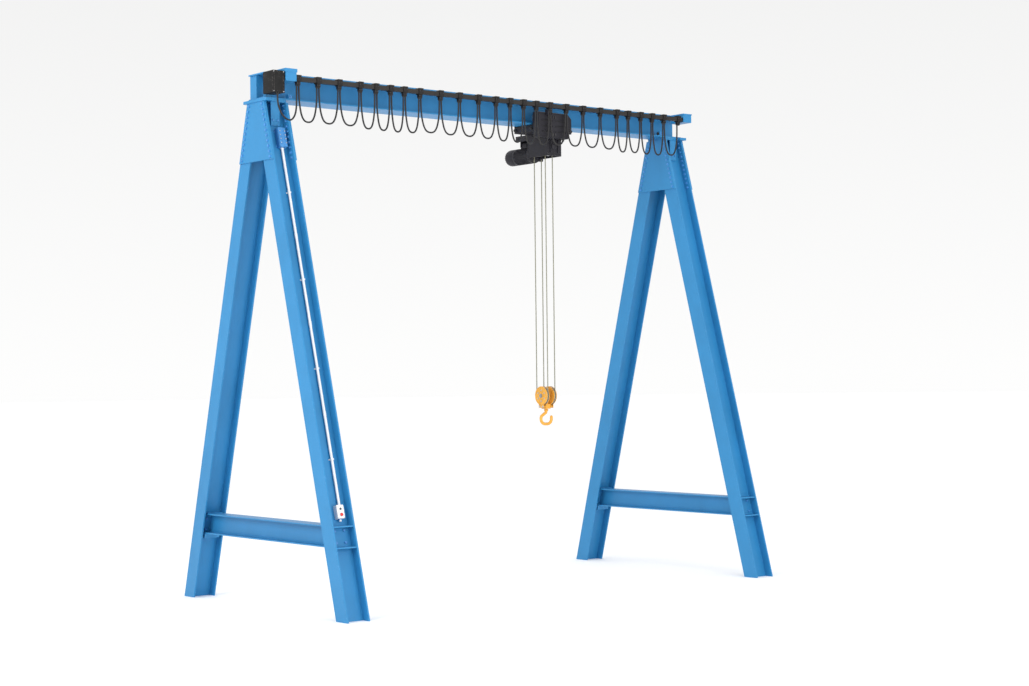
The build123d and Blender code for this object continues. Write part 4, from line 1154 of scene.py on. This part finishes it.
def make_hoist_fittings():
    """Bolts and stiffening ribs of the hoist frame, with a bearing cover over the drum's front end."""
    piece = bmesh.new()
    front = -0.186
    left, right_ = TROLLEY_X - 0.105, TROLLEY_X + 0.115
    for x in (left + 0.02, TROLLEY_X + 0.005, right_ - 0.02):
        for z in (4.885, 5.105):
            add_bolt(piece, (x, front, z), (0, -1, 0), 0.016, 0.009, 1)
    for x in (left + 0.055, right_ - 0.055):
        rib = block((x - 0.004, front - 0.012, 4.9), (x + 0.004, front + 0.001, 5.085), 0.0025, 2)
        add_shape(piece, rib)
    spot = (left + 0.003, front - 0.005, 4.8625)
    add_shape(piece, block(spot, (right_ - 0.003, front + 0.001, 4.875), 0.002, 2))
    cover = [(0, 0.016), (0.02, 0.016), (0.026, 0.012), (0.038, 0.01), (0.04, 0.008), (0.04, 0)]
    shaft = facing((TROLLEY_X + 0.005, front, 4.975), (0, -1, 0))
    add_shape(piece, turned(cover, 36), shaft)
    for i in range(6):
        a = math.tau * i / 6
        spot = shaft @ Vector((0.032 * math.cos(a), 0.032 * math.sin(a), 0.0095))
        add_screw(piece, spot, (0, -1, 0), 0.004, 1)
    for side, x in ((-1, left), (1, right_)):
        for y in (-0.15, -0.05, 0.06, 0.2, 0.33):
            add_bolt(piece, (x, y, 5.098), (side, 0, 0), 0.014, 0.008, 1)
    finishes = [hoist_paint, dark_bolts]
    make_piece("hoist_frame_fittings", piece, finishes, "trolley")


def make_trolley_fittings():
    """Axle keepers, buffers and plate bolts of the trolley."""
    piece = bmesh.new()
    for side in (-1, 1):
        face = side * 0.172
        for x in (TROLLEY_X - 0.19, TROLLEY_X + 0.19):
            keeper = block((x - 0.034, face, 5.232), (x + 0.034, face + side * 0.005, 5.25), 0.0015, 2)
            add_shape(piece, keeper)
            for dx in (-0.026, 0.026):
                add_bolt(piece, (x + dx, face + side * 0.005, 5.241), (0, side, 0), 0.011, 0.006, 1)
        for x in (TROLLEY_X - 0.26, TROLLEY_X + 0.26):
            for z in (5.155, 5.185):
                add_bolt(piece, (x, face, z), (0, side, 0), 0.016, 0.009, 1)
        for end in (-1, 1):
            spot = (TROLLEY_X + end * 0.285, side * 0.145, 5.165)
            plate = rod(0.022, 0.004, 0.001, 24)
            add_shape(piece, plate, facing(spot, (end, 0, 0)))
            bumper = [(0, 0.028), (0.011, 0.027), (0.017, 0.022), (0.018, 0.012), (0.016, 0.004), (0.016, 0)]
            add_shape(piece, turned(bumper, 24), facing(spot, (end, 0, 0)), 2)
    finishes = [hoist_paint, dark_bolts, rubber]
    make_piece("trolley_fittings", piece, finishes, "trolley")


make_electrics_fittings()
make_motor()
make_hoist_fittings()
make_trolley_fittings()

# -------------------------------------------------------------- hook block


def make_block_fittings():
    """Rolled rims, spacer nuts and keepers on the hook block's cheeks."""
    piece = bmesh.new()
    outer = 0.0722
    for sign in (-1, 1):
        face = TROLLEY_X + sign * outer
        add_shape(piece, ring(0.1035, 0.0035, 56, 8), facing((face, 0, BLOCK_Z), (sign, 0, 0)))
        boss = [(0.024, 0), (0.042, 0), (0.042, 0.002), (0.038, 0.004), (0.024, 0.004)]
        add_shape(piece, turned(boss + boss[:1], 36), facing((face, 0, BLOCK_Z), (sign, 0, 0)))
        for i in range(6):
            a = math.tau * (i + 0.5) / 6
            spot = (face, 0.062 * math.cos(a), BLOCK_Z + 0.062 * math.sin(a))
            add_bolt(piece, spot, (sign, 0, 0), 0.01, 0.005, 1)
        for y in (-0.028, 0.028):
            add_bolt(piece, (face, y, BLOCK_Z - 0.124), (sign, 0, 0), 0.013, 0.007, 1)
    finishes = [hook_yellow, zinc]
    make_piece("hook_block_fittings", piece, finishes, "hook_block")


def make_hook_collar():
    """Collar on the hook's neck."""
    piece = bmesh.new()
    place = Matrix.Translation((TROLLEY_X, 0, BLOCK_Z - 0.1775))
    outline = [(0.0165, 0), (0.022, 0), (0.0245, 0.004), (0.0245, 0.018), (0.022, 0.022), (0.0165, 0.022)]
    add_shape(piece, turned(outline + outline[:1], 32), place)
    make_piece("hook_collar", piece, [hook_yellow], "hook")


make_block_fittings()
make_hook_collar()

# ---------------------------------------------------------------- structure


def add_weld(piece, start, end, radius):
    """Rippled weld bead along a straight joint."""
    start, end = Vector(start), Vector(end)
    length = (end - start).length
    count = max(4, round(length / (1.6 * radius)))
    outline = [(0, 0)]
    for i in range(count + 1):
        swell = 1.0 if i % 2 else 0.86
        outline.append((radius * swell * (0.6 if i in (0, count) else 1), length * i / count))
    add_shape(piece, turned(outline + [(0, length)], 7), facing(start, end - start))


def leg_line(offset, z):
    """Distance of a slanted leg line from the middle."""
    return WEB_MIDDLE + offset - LEAN * z


def make_washers():
    """Washers under the heads of the gusset bolts."""
    piece = bmesh.new()
    top = LEG_TOP - BOLT_END
    step = (GUSSET_HEIGHT - 2 * BOLT_END) / (GUSSET_BOLTS - 1)
    for end in (-1, 1):
        for face in (-1, 1):
            x = end * SPAN / 2 + face * (HALF_LEG + SEAT_GAP + GUSSET)
            for side in (-1, 1):
                for i in range(GUSSET_BOLTS):
                    z = top - step * i
                    spot = (x, side * leg_line(BOLT_LINE, z), z)
                    add_shape(piece, rod(0.0152, 0.0026, 0.0006, 14), facing(spot, (face, 0, 0)))
    make_piece("gusset_washers", piece, [blue_bolts], "frame")


def make_structure_welds():
    """Welds of the posts, head plates and girder end plates."""
    piece = bmesh.new()
    for end in (-1, 1):
        x = end * SPAN / 2
        for side in (-1, 1):
            y = side * HALF_GIRDER_WIDTH
            inner = y - side * 0.002
            for edge in (x - 0.05, x + 0.05):
                add_weld(piece, (edge, inner, HEAD_UNDER - 0.16), (edge, inner, HEAD_UNDER), 0.0035)
            low = HEAD_UNDER - 0.001
            add_weld(piece, (x - 0.05, y, low), (x + 0.05, y, low), 0.0045)
        plate = end * (GIRDER_HALF - END_INSET)
        add_weld(piece, (plate, 0.001, 5.224), (plate, 0.144, 5.224), 0.0035)
    make_piece("frame_welds", piece, [blue_paint], "frame")


def make_stop_pads():
    """Rubber pads and bolts on the travel stops."""
    piece = bmesh.new()
    for end in (-1, 1):
        x = end * STOP_X
        for side in (-1, 1):
            spot = (x - end * 0.025, side * 0.115, 5.25)
            pad = [(0, 0.016), (0.012, 0.015), (0.017, 0.011), (0.018, 0)]
            add_shape(piece, turned(pad, 24), facing(spot, (-end, 0, 0)))
            add_bolt(piece, (x, side * 0.142, 5.249), (0, side, 0), 0.019, finish=1)
    make_piece("stop_pads", piece, [rubber, blue_bolts], "frame")


make_washers()
make_structure_welds()
make_stop_pads()
